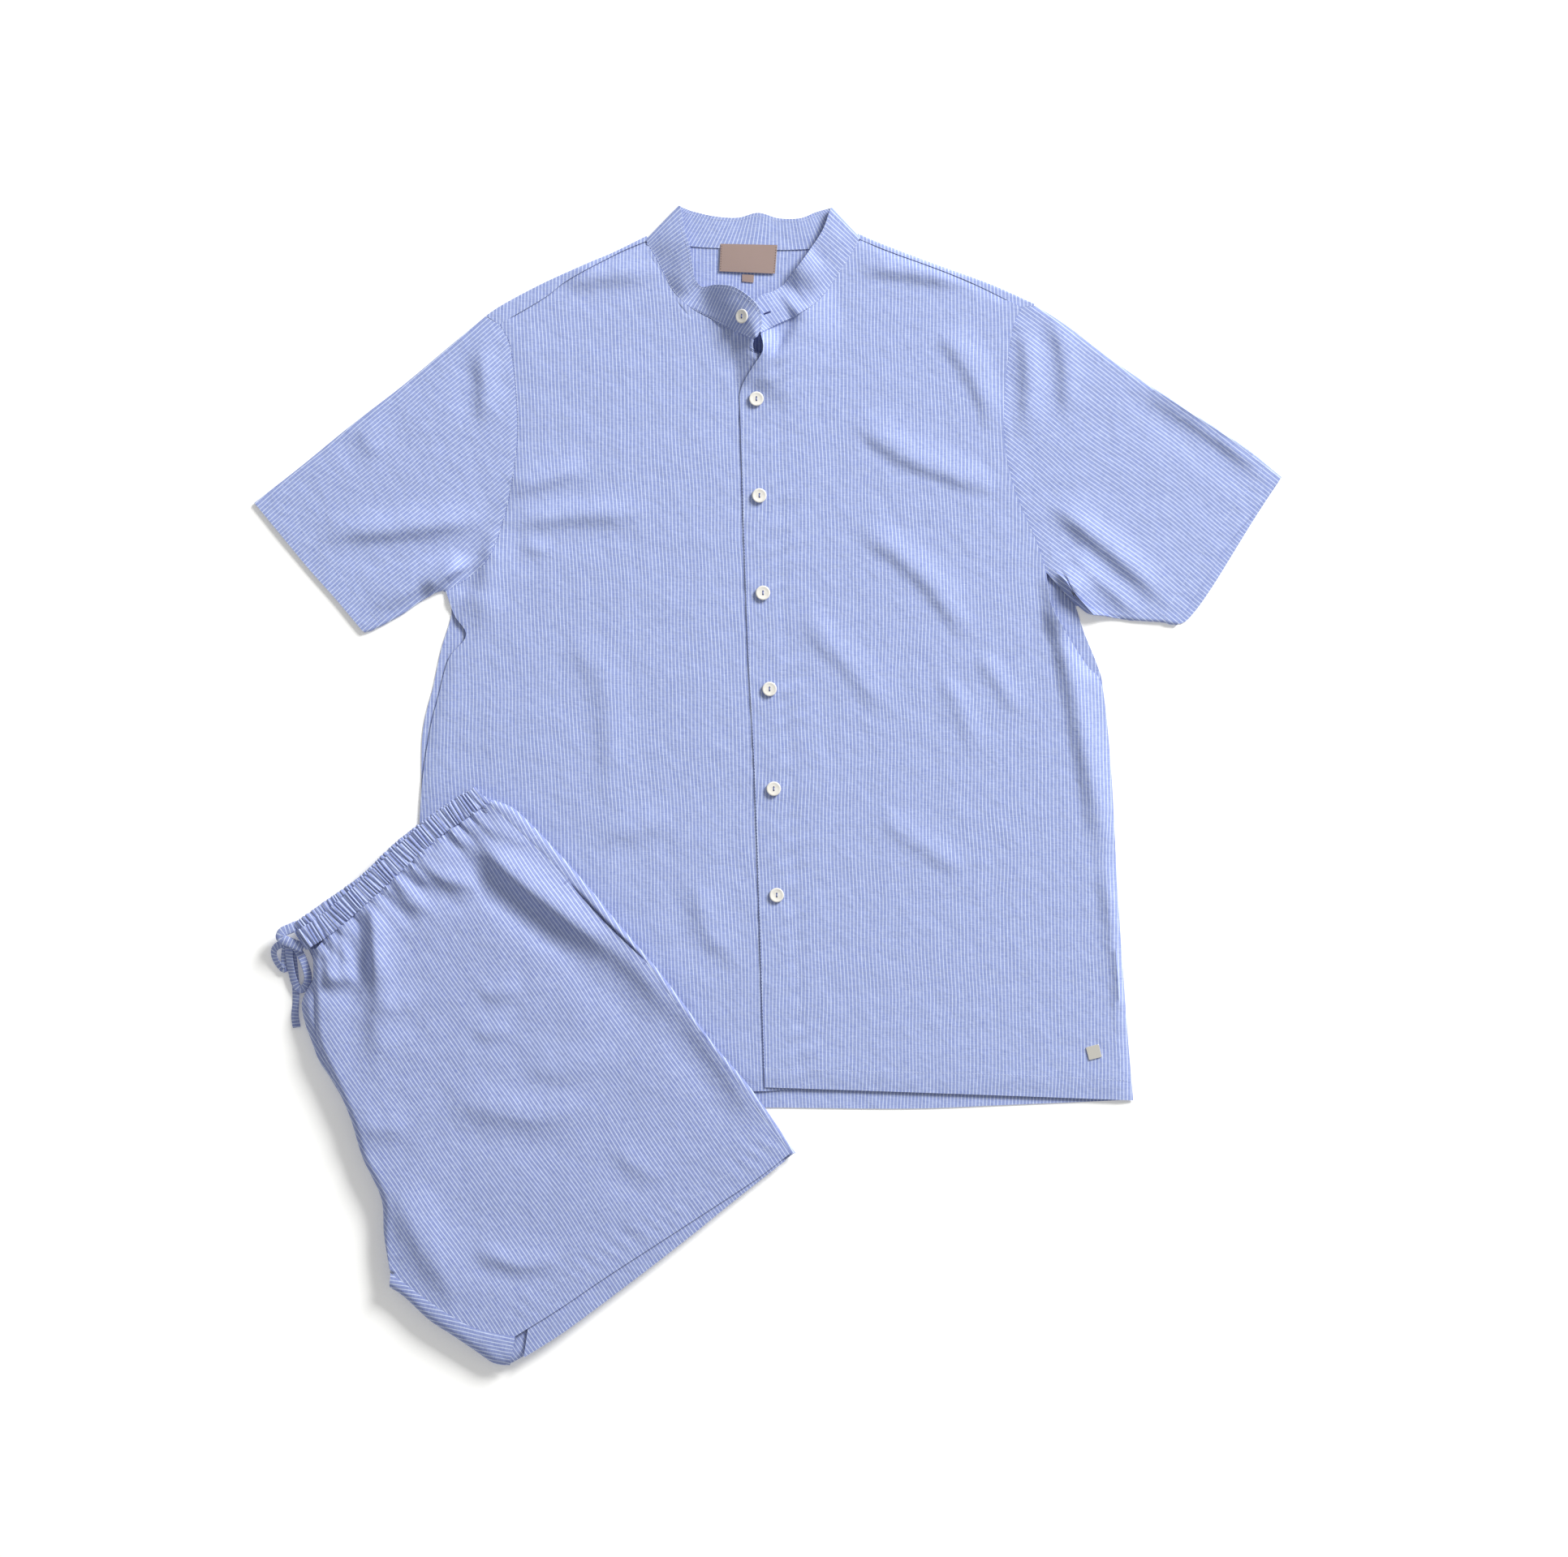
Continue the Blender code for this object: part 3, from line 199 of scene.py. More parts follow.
# the seams, folds and cut edges of the whole shirt, in mm
LINES = {
    "right shoulder fold": [(-101.5, 459.5), (-130, 445.5), (-151.5, 436.5), (-189, 419.5), (-221, 402.5),
                            (-235.5, 393)],
    "left shoulder fold": [(75.5, 461.5), (94, 453.5), (138.5, 436.5), (185.5, 419.5), (223.5, 402.5)],
    "right shoulder seam": [(-102.5, 455), (-126.5, 444.5), (-167.5, 422.5), (-187.5, 407.5), (-225, 385.5)],
    "left shoulder seam": [(77.5, 456.5), (104.5, 445.5), (138.5, 433), (172.5, 419.5), (212, 400)],
    "right armhole": [(-225, 385.5), (-216, 366), (-211, 322.5), (-211, 281), (-221, 225), (-238, 185),
                      (-269.5, 162)],
    "left armhole": [(212, 400), (204.5, 379), (198.5, 331), (198.5, 283.5), (208, 243), (225, 203.5),
                     (233, 178)],
    "right back armhole": [(-235.5, 393), (-216, 360), (-211, 300), (-221, 225), (-238, 185), (-269.5, 162)],
    "left back armhole": [(223.5, 402.5), (207, 379), (200, 331), (200, 283.5), (210, 243), (232, 195),
                          (257.5, 151)],
    "right neckline": [(-11.5, 372), (-45, 388.5), (-65.5, 400), (-81, 416), (-92.5, 438.5), (-102.5, 455)],
    "left neckline": [(-6, 378), (9.5, 385.5), (26.5, 393.5), (43.5, 406), (58.5, 426.5), (72, 448),
                      (77.5, 456.5)],
    "back neckline": [(-101.5, 459.5), (-85.5, 455), (-64.5, 451), (-39.5, 449.5), (7.5, 448), (36.5, 449),
                      (57, 453.5), (75.5, 461.5)],
    "right front edge": [(-11.5, 372), (-12, 364.5), (-3, 356), (2.5, 317.5), (8, 242), (13.5, 113.5),
                         (20.5, -3.5), (27, -255)],
    "left front edge": [(-6, 378), (-4, 363), (-13.5, 348), (-22.5, 331), (-23, 311), (-21, 249.5),
                        (-16.5, 113.5), (-11, 11.5), (-6, -136), (-2.5, -253.5)],
    "right side": [(-269.5, 162), (-262.5, 142), (-252.5, 125), (-267, 105.5), (-276, 73), (-283, 44),
                   (-290.5, -12), (-294.5, -124.5), (-299, -257.5)],
    "left side": [(233, 178), (238, 149), (253, 121.5), (268, 98.5), (280, 81.5), (287.5, 11.5), (293, -90.5),
                  (300, -192.5), (306, -264.5)],
    "right back side": [(-269.5, 162), (-265, 143), (-273.5, 113.5), (-280, 83), (-289, 44), (-290.5, -12),
                        (-295, -124.5), (-300, -259)],
    "left back side": [(257.5, 151), (264.5, 128.5), (276, 100), (281, 79.5), (287, 11.5), (292.5, -90.5),
                       (298.5, -192.5), (304, -263)],
    "right hem": [(-299, -257.5), (-167.5, -260.5), (-13.5, -257), (27, -255)],
    "left hem": [(306, -264.5), (198.5, -260.5), (84.5, -256.5), (-2.5, -253.5)],
    "back hem": [(-300, -259), (-167.5, -268.5), (-0.5, -270.5), (117, -271.5), (198.5, -268.5),
                 (292.5, -264.5), (304, -263)],
    "right sleeve top": [(-235.5, 393), (-265, 368.5), (-305.5, 334.5), (-349.5, 300.5), (-391, 266.5),
                         (-430, 236)],
    "right sleeve cuff": [(-430, 236), (-408.5, 210), (-385, 181.5), (-361, 154.5), (-338, 127)],
    "right sleeve underarm": [(-269.5, 162), (-276, 160.5), (-289.5, 153), (-303.5, 143.5), (-328.5, 130.5),
                              (-338, 127)],
    "left sleeve top": [(223.5, 402.5), (249.5, 385.5), (295, 351.5), (346, 317.5), (398, 283.5),
                        (430.5, 257.5)],
    "left sleeve cuff": [(430.5, 257.5), (407.5, 228), (386, 202), (363, 166.5), (344, 135.5)],
    "left sleeve back cuff": [(430.5, 257.5), (407.5, 222.5), (372, 165), (353.5, 140), (343.5, 133.5)],
    "left sleeve underarm": [(233, 178), (242.5, 175), (250, 167), (255.5, 155.5), (264.5, 146),
                             (281.5, 141.5), (308.5, 137.5), (344, 135.5)],
    "left sleeve back underarm": [(257.5, 151), (268, 143), (281.5, 141), (308.5, 137), (343.5, 133.5)],
}


def smooth(points, count):
    """`count` points in equal steps along a smooth curve through `points`."""
    points = np.array(points, float)
    ends = np.vstack([2 * points[0] - points[1], points, 2 * points[-1] - points[-2]])
    t = np.linspace(0, 1, 24, endpoint=False)[:, None]
    fine = []
    for a, b, c, d in zip(ends, ends[1:], ends[2:], ends[3:]):
        bend = 2 * a - 5 * b + 4 * c - d
        turn = 3 * b - a - 3 * c + d
        fine.append(b + t * (c - a) / 2 + t**2 * bend / 2 + t**3 * turn / 2)
    fine = np.vstack([*fine, points[-1:]])
    travelled = np.r_[0, np.cumsum(np.linalg.norm(np.diff(fine, axis=0), axis=1))]
    wanted = np.linspace(0, travelled[-1], count)
    return np.stack([np.interp(wanted, travelled, fine[:, k]) for k in range(points.shape[1])], axis=1)


def line(name, count):
    """One of the shirt's lines, as this many points."""
    return smooth(LINES[name], count)


def aside(points, distance):
    """The line moved sideways in the plane, to the left of its direction."""
    along = np.gradient(points, axis=0)
    along /= np.linalg.norm(along, axis=1)[:, None]
    return points + np.stack([-along[:, 1], along[:, 0]], axis=1) * distance


def patch(top, bottom, left, right):
    """Points across a panel with four sides, blended from its edge lines."""
    u = np.linspace(0, 1, len(top))[None, :, None]
    v = np.linspace(0, 1, len(left))[:, None, None]
    corners = (1 - v) * ((1 - u) * top[0] + u * top[-1]) + v * ((1 - u) * bottom[0] + u * bottom[-1])
    return (1 - u) * left[:, None] + u * right[:, None] + (1 - v) * top[None] + v * bottom[None] - corners


def raised(flat, height):
    """A grid of plane points lifted to a height, which is a number or a function of x and y."""
    z = height(flat[..., 0], flat[..., 1]) if callable(height) else np.full(flat.shape[:-1], float(height))
    return np.concatenate([flat, z[..., None]], axis=-1)


def cloth(name, grids, surface=SHIRT_COTTON, thickness=0.5, weld=0.02):
    """A piece of cloth from grids of (points in mm, place on the cloth in mm), given its thickness."""
    shape = bmesh.new()
    grain = shape.verts.layers.float_vector.new("cloth")
    for points, places in grids:
        rows, columns = points.shape[:2]
        verts = []
        for point, place in zip(points.reshape(-1, 3), places.reshape(-1, 2)):
            vert = shape.verts.new(point * MM)
            vert[grain] = (place[0], place[1], 0)
            verts.append(vert)
        for r in range(rows - 1):
            for c in range(columns - 1):
                i = r * columns + c
                shape.faces.new((verts[i], verts[i + 1], verts[i + columns + 1], verts[i + columns]))
    bmesh.ops.remove_doubles(shape, verts=shape.verts, dist=weld * MM)
    bmesh.ops.recalc_face_normals(shape, faces=shape.faces)
    mesh = bpy.data.meshes.new(f"{name}_cloth")
    shape.to_mesh(mesh)
    shape.free()
    mesh.materials.append(surface)
    mesh.shade_smooth()
    piece = bpy.data.objects.new(f"{name}_cloth", mesh)
    bpy.context.scene.collection.objects.link(piece)
    if thickness:
        wall = piece.modifiers.new("Cloth", "SOLIDIFY")
        wall.thickness = thickness * MM
        wall.offset = 0
        cut_edge = piece.modifiers.new("Cut edge", "EDGE_SPLIT")
        cut_edge.split_angle = math.radians(60)
    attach(piece, "root")
    return piece


def lying(points, lean=0.0):
    """Where each point is on its cloth, when the stripes lean this many degrees to the right going down."""
    turn = math.radians(lean)
    x, y = points[..., 0], points[..., 1]
    across = x * math.cos(turn) + y * math.sin(turn)
    return np.stack([across, y * math.cos(turn) - x * math.sin(turn)], axis=-1)


def ease(start, end, value):
    """A smooth rise from 0 at start to 1 at end."""
    t = np.clip((value - start) / (end - start), 0, 1)
    return t * t * (3 - 2 * t)


def beside(path, x, y):
    """For each point: how far it is from the path, to its left, how far along it the nearest place is, and
    the path's whole length."""
    path = np.array(path, float)
    best = np.full(x.shape, np.inf)
    side = np.zeros(x.shape)
    along = np.zeros(x.shape)
    travelled = 0.0
    for start, end in zip(path, path[1:]):
        step = end - start
        length = math.hypot(*step)
        step = step / length
        t = (x - start[0]) * step[0] + (y - start[1]) * step[1]
        held = np.clip(t, 0, length)
        dx = x - start[0] - held * step[0]
        dy = y - start[1] - held * step[1]
        far = np.hypot(dx, dy)
        closer = far < best
        best = np.where(closer, far, best)
        side = np.where(closer, np.where(step[0] * dy - step[1] * dx >= 0, far, -far), side)
        along = np.where(closer, travelled + held, along)
        travelled += length
    return side, along, travelled


def dip(path, x, y, reach):
    """1 on the path, fading to 0 at about twice this reach to either side."""
    return np.exp(-(beside(path, x, y)[0] / reach) ** 2)


def ridges(folds, x, y):
    """Soft folds: each crest runs through three points, steeper on the side away from the light."""
    z = np.zeros(x.shape)
    for x0, y0, x1, y1, x2, y2, width, height in folds:
        reach = 3 * width
        near = ((x > min(x0, x1, x2) - reach) & (x < max(x0, x1, x2) + reach)
                & (y > min(y0, y1, y2) - reach) & (y < max(y0, y1, y2) + reach))
        if not near.any():
            continue
        path = smooth([(x0, y0), (x1, y1), (x2, y2)], 13)
        side, along, length = beside(path, x[near], y[near])
        shaded_left = ((y2 - y0) - (x2 - x0)) > 0
        steep = side > 0 if shaded_left else side < 0
        span = np.where(steep, 0.62 * width, 1.25 * width)
        share = along / length
        fade = ease(-0.02, 0.3, share) * ease(-0.02, 0.35, 1 - share)
        down = side if shaded_left else -side
        trough = 0.4 * np.exp(-((down - 1.5 * width) / (0.8 * width)) ** 2)
        z[near] += height * fade * (np.exp(-1.3 * (side / span) ** 2) - trough)
    return z


def puckers(path, x, y, reach, pitch, height, lean=0.0):
    """The small drawn-in waves beside a row of stitching, uneven in spacing and depth."""
    side, along, length = beside(path, x, y)
    s = along + lean * side
    wave = np.cos(2 * math.pi * s / pitch + 1.4 * np.sin(s * 0.061) + 0.9 * np.sin(s * 0.137 + 2))
    depth = 0.65 + 0.35 * np.sin(s * 0.043 + 1.1)
    ends = ease(0, 6, along) * ease(0, 6, length - along)
    return height * wave * depth * np.exp(-(side / reach) ** 2) * ends


def swell(x, y, scale, height, seed=0.0):
    """Slow unevenness of cloth that has been smoothed out by hand."""
    a = np.sin(x / scale + 1.7 * np.sin(y / (1.9 * scale) + seed)) * np.cos(y / (1.3 * scale) + seed * 1.7)
    b = np.sin((x + y) / (0.61 * scale) + 2.1 * seed) * np.cos((x - 1.6 * y) / (0.93 * scale) + seed)
    return height * (0.6 * a + 0.4 * b)


SHIRT_FOLDS = [
    # x0, y0, x1, y1, x2, y2, width, height
    (-232, 222, -303, 214, -378, 209, 13, 3.6),
    (-242, 192, -290, 168, -337, 141, 12, 2.8),
    (-222, 243, -184, 256, -147, 267, 13, 2.6),
    (-222, 219, -160, 225, -99, 228, 12, 2.4),
    (-208, 202, -194, 198, -181, 194, 9, 1.4),
    (-225, 216, -235, 178, -242, 120, 12, 2.8),
    (-288, 158, -268, 175, -249, 187, 7, 4.6),
    (-262, 132, -252, 148, -240, 166, 6, 2.0),
    (-241, 372, -238, 335, -237, 297, 10, 2.4),
    (-344, 304, -334, 287, -324, 270, 12, 1.2),
    (-167, 134, -137, 73, -133, -22, 13, 1.4),
    (-58, -77, -52, -121, -21, -152, 12, 1.6),
    (-140, -46, -106, -37, -79, -28, 11, 1.3),
    (-174, 420, -133, 426, -92, 430, 11, 2.6),
    (64, 311, 118, 273, 207, 241, 14, 3.0),
    (64, 222, 125, 178, 173, 114, 14, 2.8),
    (173, 114, 193, 83, 214, 52, 11, 2.0),
    (23, 148, 64, 100, 112, 49, 14, 2.0),
    (139, 97, 163, 59, 173, 18, 12, 1.8),
    (84, -22, 125, -50, 173, -80, 13, 1.8),
    (139, 386, 173, 338, 190, 290, 13, 2.6),
    (71, 433, 122, 428, 173, 418, 12, 3.0),
    (231, 182, 261, 46, 283, -77, 12, 4.4),
    (279, -50, 292, -145, 302, -232, 11, 3.8),
    (234, 239, 275, 205, 339, 151, 12, 3.6),
    (248, 202, 282, 168, 316, 139, 10, 2.4),
    (215, 386, 218, 338, 215, 290, 10, 2.4),
    (234, 396, 249, 358, 249, 304, 10, 2.0),
    (309, 338, 367, 299, 424, 256, 12, 2.6),
]
# the cloth stands up round the openings at the armpits: x, y, reach and height in mm
ARMPITS = [(254, 166, 16, 9.0), (243, 140, 12, 4.5), (-262, 160, 12, 4.0)]
ARMHOLES = [smooth(LINES["right armhole"], 24), smooth(LINES["left armhole"], 24)]
# rows of stitching on the fronts and the sleeves
HEMS = [[(-299, -244), (-167, -246), (-3, -238)], [(-3, -238), (37, -239), (199, -243), (305, -248)]]
PLACKET = [(7, 372), (7, 358), (9, 318), (11, 250), (12, 182), (15, 114), (18, 46), (19, -2), (22, -90),
           (26, -186), (30, -254)]
CUFFS = [[(-418, 246), (-396, 220), (-372, 192), (-348, 163), (-326, 137)],
         [(417, 268), (395, 238), (373, 208), (350, 172), (331, 141)]]


def front_height(x, y):
    """Middle of the shirt's upper layer."""
    z = FRONT_Z + 1.3 * ridges(SHIRT_FOLDS, x, y) + swell(x, y, 33, 0.5) + swell(x, y, 15, 0.16, 2.0)
    for px, py, reach, height in ARMPITS:
        z = z + height * np.exp(-((x - px) ** 2 + (y - py) ** 2) / reach**2)
    for armhole in ARMHOLES:
        z = z + puckers(armhole, x, y, 9, 15, 0.4) - 0.3 * dip(armhole, x, y, 1.8)
    for hem in HEMS:
        z = z + puckers(hem, x, y, 8, 12, 0.28, 0.3)
    for cuff in CUFFS:
        z = z + puckers(cuff, x, y, 8, 11, 0.28, 0.3)
    lowest = FRONT_Z - 1.1
    return np.maximum(z, lowest) + 0.25 * np.exp(-np.maximum(z - lowest, 0))


turned_yokes, shoulder_lows = [], []
for side, turn in (("right", 1), ("left", -1)):
    fold = line(f"{side} shoulder fold", COUNT["shoulder"])
    seam = line(f"{side} shoulder seam", COUNT["shoulder"])
    shoulder_lows.append(aside(fold, turn * SHOULDER_INSET))
    rows = [raised(aside(fold, turn * inset), height) for inset, height in SHOULDER_TURN]
    over_fold = aside(fold, turn * 1.4)
    for share in (0, 0.35, 0.7, 1.0):
        sink = 0.25 * (1 - share)
        rows.append(raised(over_fold * (1 - share) + seam * share, lambda x, y: front_height(x, y) - sink))
    rows = np.array(rows)
    turned_yokes.append((rows, lying(rows)))
neckline = line("back neckline", 60)
top = np.vstack([shoulder_lows[0][::-1], neckline[1:-1], shoulder_lows[1]])
hem = line("back hem", len(top))
sides = []
for side, end in (("right", 0), ("left", -1)):
    armhole = line(f"{side} back armhole", COUNT["armhole"])
    outline = np.vstack([armhole, line(f"{side} back side", COUNT["side"])[1:]])
    outline[0], outline[-1] = top[end], hem[end]
    sides.append(outline)
back_panel = raised(patch(top, hem, *sides), BACK_Z)
shirt_back = cloth("shirt_back", [(back_panel, lying(back_panel)), *turned_yokes])
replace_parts(shirt_back, "shirt_back")

# Fronts: each is cut from the same cloth and runs from the shoulder seam to the hem. The wearer's
# left one laps over the other along the button band. Both dip to the back at the sides and the hem.
LAP = 0.7
SIDE_REST, HEM_REST = 1.7, 1.6  # heights at which the seam and the hem rest on the back
ARMPIT_FADE = (122, 92)  # the side seam stands open above this stretch
LAP_EDGE = [(-21, 331), (-21, 249), (-16, 113), (-11, 11), (-6, -136)]
STITCH_PITCH = 2.7
PALE_THREAD = new_material("pale_thread", "#B9C4E4", 0.6)[0]  # spun polyester, matt


def stitches(name, routes, height, pitch=STITCH_PITCH, surface=PALE_THREAD):
    """Rows of small thread stitches along routes in mm, lying on the cloth. Without a height function,
    each route holds its own height."""
    above, half_width, half_depth = 0.32, 0.2, 0.16
    shape = bmesh.new()
    for route in routes:
        length = float(np.linalg.norm(np.diff(np.array(route, float)[:, :2], axis=0), axis=1).sum())
        path = smooth(route, max(2, round(length / pitch)) + 1)
        if height:
            path = np.column_stack([path[:, :2], height(path[:, 0], path[:, 1]) + above])
        for start, end in zip(path, path[1:]):
            step = (end - start) / np.linalg.norm(end - start)
            out = np.array([-step[1], step[0], 0]) * half_width
            up = np.array([0, 0, half_depth])
            a, b = start + step * 0.35, end - step * 0.45
            taper = (b - a) * 0.2
            corners = [a - up, a + taper + out, b - taper + out, b - up, b - taper - out, a + taper - out,
                       (a + b) / 2 + up]
            verts = [shape.verts.new(c * MM) for c in corners]
            rim = verts[:6]
            for one, two in zip(rim, rim[1:] + rim[:1]):
                shape.faces.new((one, two, verts[6]))
            shape.faces.new(rim[::-1])
    mesh = bpy.data.meshes.new(name)
    shape.to_mesh(mesh)
    shape.free()
    mesh.materials.append(surface)
    piece = bpy.data.objects.new(name, mesh)
    bpy.context.scene.collection.objects.link(piece)
    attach(piece, "root")


def throat(x, y):
    """The fronts slope up to the fold at the throat, where the collar holds them off the table."""
    foot = np.interp(y, [331, 368, 376], [-24, -30, -31])
    return 0.54 * np.clip(x - foot, 0, 24) * ease(327, 341, y) * ease(392, 378, y)


def past_lap_edge(x, y):
    """How far each point is to the right of the edge that laps over."""
    edge = line("left front edge", 60)[::-1]
    return x - np.interp(y, edge[:, 1], edge[:, 0])


def lap_height(x, y):
    """The front that laps over: one layer higher beside its edge, and folded back at the throat."""
    z = front_height(x, y) + LAP * (1 - ease(50, 78, past_lap_edge(x, y)))
    side = beside([(-4, 370), (-4, 363), (-13.5, 348), (-23, 331)], x, y)[0]
    under_throat = 1 - ease(0, 1, np.abs(side) / np.interp(y, [331, 362], [5, 15]))
    z = z + throat(np.minimum(x, -4.0), y) * under_throat + 0.5
    side, along, length = beside([(20, 390), (6, 367), (-8, 350), (-21, 334)], x, y)
    z = z + 6.0 * ease(0, 8, side) * (1 - ease(9, 48, side)) * (1 - ease(0.7, 1, along / length))
    z = np.maximum(z, FRONT_Z + 1.0)
    z = z - 0.65 * dip(PLACKET, x, y, 1.9) + puckers(PLACKET, x, y, 13, 17, 0.55, 0.35)
    return z + puckers([(-21, 330), *LAP_EDGE[1:], (-3, -252)], x, y, 7, 26, 0.3)


def under_height(x, y):
    """The front beneath, raised at its corner to meet the collar."""
    z = front_height(x, y) + throat(x, y) * (1 - ease(-13, -9, x) * ease(358, 363, y))
    return z - (z - 2.7) * ease(-4, 12, past_lap_edge(x, y)) * ease(372, 356, y)


def front(side, height, lean):
    shoulder = line(f"{side} shoulder seam", COUNT["shoulder"])
    neck = line(f"{side} neckline", COUNT["neck"])
    armhole = line(f"{side} armhole", COUNT["armhole"])
    top = np.vstack([shoulder[::-1], neck[::-1][1:]])
    top[0] = armhole[0]
    hem = line(f"{side} hem", len(top))
    edge = line(f"{side} front edge", COUNT["armhole"] + COUNT["side"] - 1)
    outer = np.vstack([armhole, line(f"{side} side", COUNT["side"])[1:]])
    edge[0], edge[-1], outer[-1] = top[-1], hem[-1], hem[0]
    points = raised(patch(top, hem, outer, edge), height)

    # the side seam below the armpit comes down to the back panel, then the hem and the shoulder seam dip
    x, y, z = points[..., 0], points[..., 1], points[..., 2]
    by_side = dip(line(f"{side} side", 60), x, y, 4.0) * ease(*ARMPIT_FADE, y)
    z = z * (1 - by_side) + SIDE_REST * by_side
    z = np.maximum(z - 0.9 * dip(hem[::4], x, y, 7.0), HEM_REST)
    points[..., 2] = z - 1.5 * dip(shoulder[::4], x, y, 2.4)
    piece = cloth(f"shirt_{side}_front", [(points, lying(points, lean))])
    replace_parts(piece, f"shirt_{side}_front")
    return piece


right_front = front("right", under_height, 1.8)
left_front = front("left", lap_height, 0.8)

stitches("front_stitches", [PLACKET, HEMS[1], [*LAP_EDGE, (-3, -238)]], lap_height)
stitches("under_front_stitches", [[(-15, -246), (-80, -246), (-167, -246), (-299, -244)],
                                  [(-35, 383), (-28, 358), (-24, 334)]], under_height)

# Sleeves: each is a tube of the same cloth laid flat, folded along its top edge and its underarm
# seam, set into the armhole and hemmed at the cuff.
EDGE_ROUND = 1.3
SLEEVE_FOLD = ((0.28, 0.85), (0.5, 1.15), (0.72, 0.85))


def rolled_edge(upper, lower, inner, steps):
    """Rows round the outside of a fold, from the upper layer's edge row to the lower one's. Each step is
    its share of the way down and how far it stands out."""
    out = upper[:, :2] - inner[:, :2]
    out /= np.linalg.norm(out, axis=1)[:, None]
    upper_is_outer = ((upper - lower)[:, :2] * out).sum(1) >= -1e-6
    base = np.where(upper_is_outer[:, None], upper[:, :2], lower[:, :2])
    rows = []
    for share, far in steps:
        z = upper[:, 2] * (1 - share) + lower[:, 2] * share
        rows.append(np.column_stack([base + out * far, z]))
    return rows


def sleeve(side, turn, back_cuff, back_underarm, lean):
    """The tube: its upper layer, the fold at the underarm, its lower layer and the fold along the top."""
    top = aside(line(f"{side} sleeve top", 62), turn * EDGE_ROUND)
    shoulder = shoulder_lows[0 if side == "right" else 1]
    along = shoulder[-1] - shoulder[-2]
    top[0] = shoulder[-1] + along / np.linalg.norm(along) * 0.6
    armhole = line(f"{side} armhole", COUNT["armhole"] - 2)
    armhole = np.vstack([top[0], (top[0] + armhole[0]) / 2, armhole])
    cuff = line(f"{side} sleeve cuff", len(armhole))
    under = aside(line(f"{side} sleeve underarm", 62), -turn * EDGE_ROUND)
    cuff[0], cuff[-1], under[0] = top[-1], under[-1], armhole[-1]
    above = raised(patch(armhole, cuff, top, under), front_height)

    back_armhole = line(f"{side} back armhole", 40)
    back_armhole[0] = top[0]
    back_hem = line(back_cuff, 40)
    back_under = aside(line(back_underarm, 62), -turn * EDGE_ROUND)
    back_hem[0], back_hem[-1], back_under[0] = top[-1], back_under[-1], back_armhole[-1]
    below = raised(patch(back_armhole, back_hem, top, back_under), BACK_Z)

    under_fold = rolled_edge(above[:, -1], below[:, -1], above[:, -3], SLEEVE_FOLD)
    top_fold = rolled_edge(above[:, 0], below[:, 0], above[:, 2], SLEEVE_FOLD)
    for beside_fold in (1, -2):
        above[:, beside_fold, 2] = above[:, beside_fold, 2] * 0.8 + 2.4 * 0.2
    round_tube = [above[:, i] for i in range(above.shape[1])] + under_fold
    round_tube += [below[:, i] for i in range(below.shape[1] - 1, -1, -1)] + top_fold[::-1] + [above[:, 0]]
    points = np.array(round_tube)
    piece = cloth(f"shirt_{side}_sleeve", [(points, lying(points, lean))])
    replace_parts(piece, f"shirt_{side}_sleeve")


sleeve("right", 1, "right sleeve cuff", "right sleeve underarm", -49.5)
sleeve("left", -1, "left sleeve back cuff", "left sleeve back underarm", 52)

BLUE_THREAD = new_material("blue_thread", "#5A69A8", 0.6)[0]  # spun polyester, matt
stitches("cuff_stitches", CUFFS, front_height)
stitches("armhole_stitches", [aside(line("right armhole", 40), 0.9), aside(line("left armhole", 40), -0.9)],
         front_height, 2.4, BLUE_THREAD)

# Collar: a narrow stand-up band of two layers with a stiffener, sewn round the neckline. Its back
# lies flat inside out, it turns over at both shoulders, and its two ends lap and button in front.
# The top edges are given in mm, and each point of the front ones lies opposite its share of the seam.
RIGHT_TOP = [(-8.5, 375, 16.0), (-5.0, 384, 19.5), (-6.5, 396, 22.5), (-14, 406, 23.5), (-28, 415.5, 20.5),
             (-43, 418, 13.0), (-55, 417, 6.0), (-61, 424, 8.5), (-63, 435, 10.5), (-64.5, 448, 10.0),
             (-69, 463, 9.0), (-73, 484, 7.5)]
LEFT_TOP = [(-8, 380.5, 11.0), (-13, 390, 9.0), (-12.5, 401, 7.5), (-6, 409.5, 6.5), (4.5, 413, 4.8),
            (14, 419.5, 4.6), (24, 432, 13.0), (31.5, 442, 13.5), (36.5, 449.5, 10.0), (42, 457.5, 9.5),
            (47.5, 467.5, 8.5), (52.5, 482.5, 7.5)]
RIGHT_SHARE = [0, 0.04, 0.09, 0.16, 0.26, 0.38, 0.50, 0.60, 0.70, 0.80, 0.90, 1.0]
LEFT_SHARE = [0, 0.04, 0.09, 0.15, 0.25, 0.35, 0.48, 0.60, 0.70, 0.80, 0.90, 1.0]
BACK_TOP = [(-71.5, 483.5, 1.8), (-62, 480, 1.8), (-44, 476, 2.0), (-25, 475, 1.6), (-8, 479, 2.4),
            (9, 474.5, 1.6), (27, 474.5, 2.0), (40, 479.5, 1.8), (50.5, 482.5, 1.8)]
ACROSS = 13
COLLAR_WIDTH = 27
ROW_ABOVE = (0, 0, 0.62)  # from the band's middle to a row of stitches on it
# dents where the band folds: x, y, reach and depth as a share of its roll
DENTS = [(30, 414, 13, 4.2), (-50, 404, 13, 4.4), (41, 440, 16, 1.5), (-82, 440, 16, 1.2)]


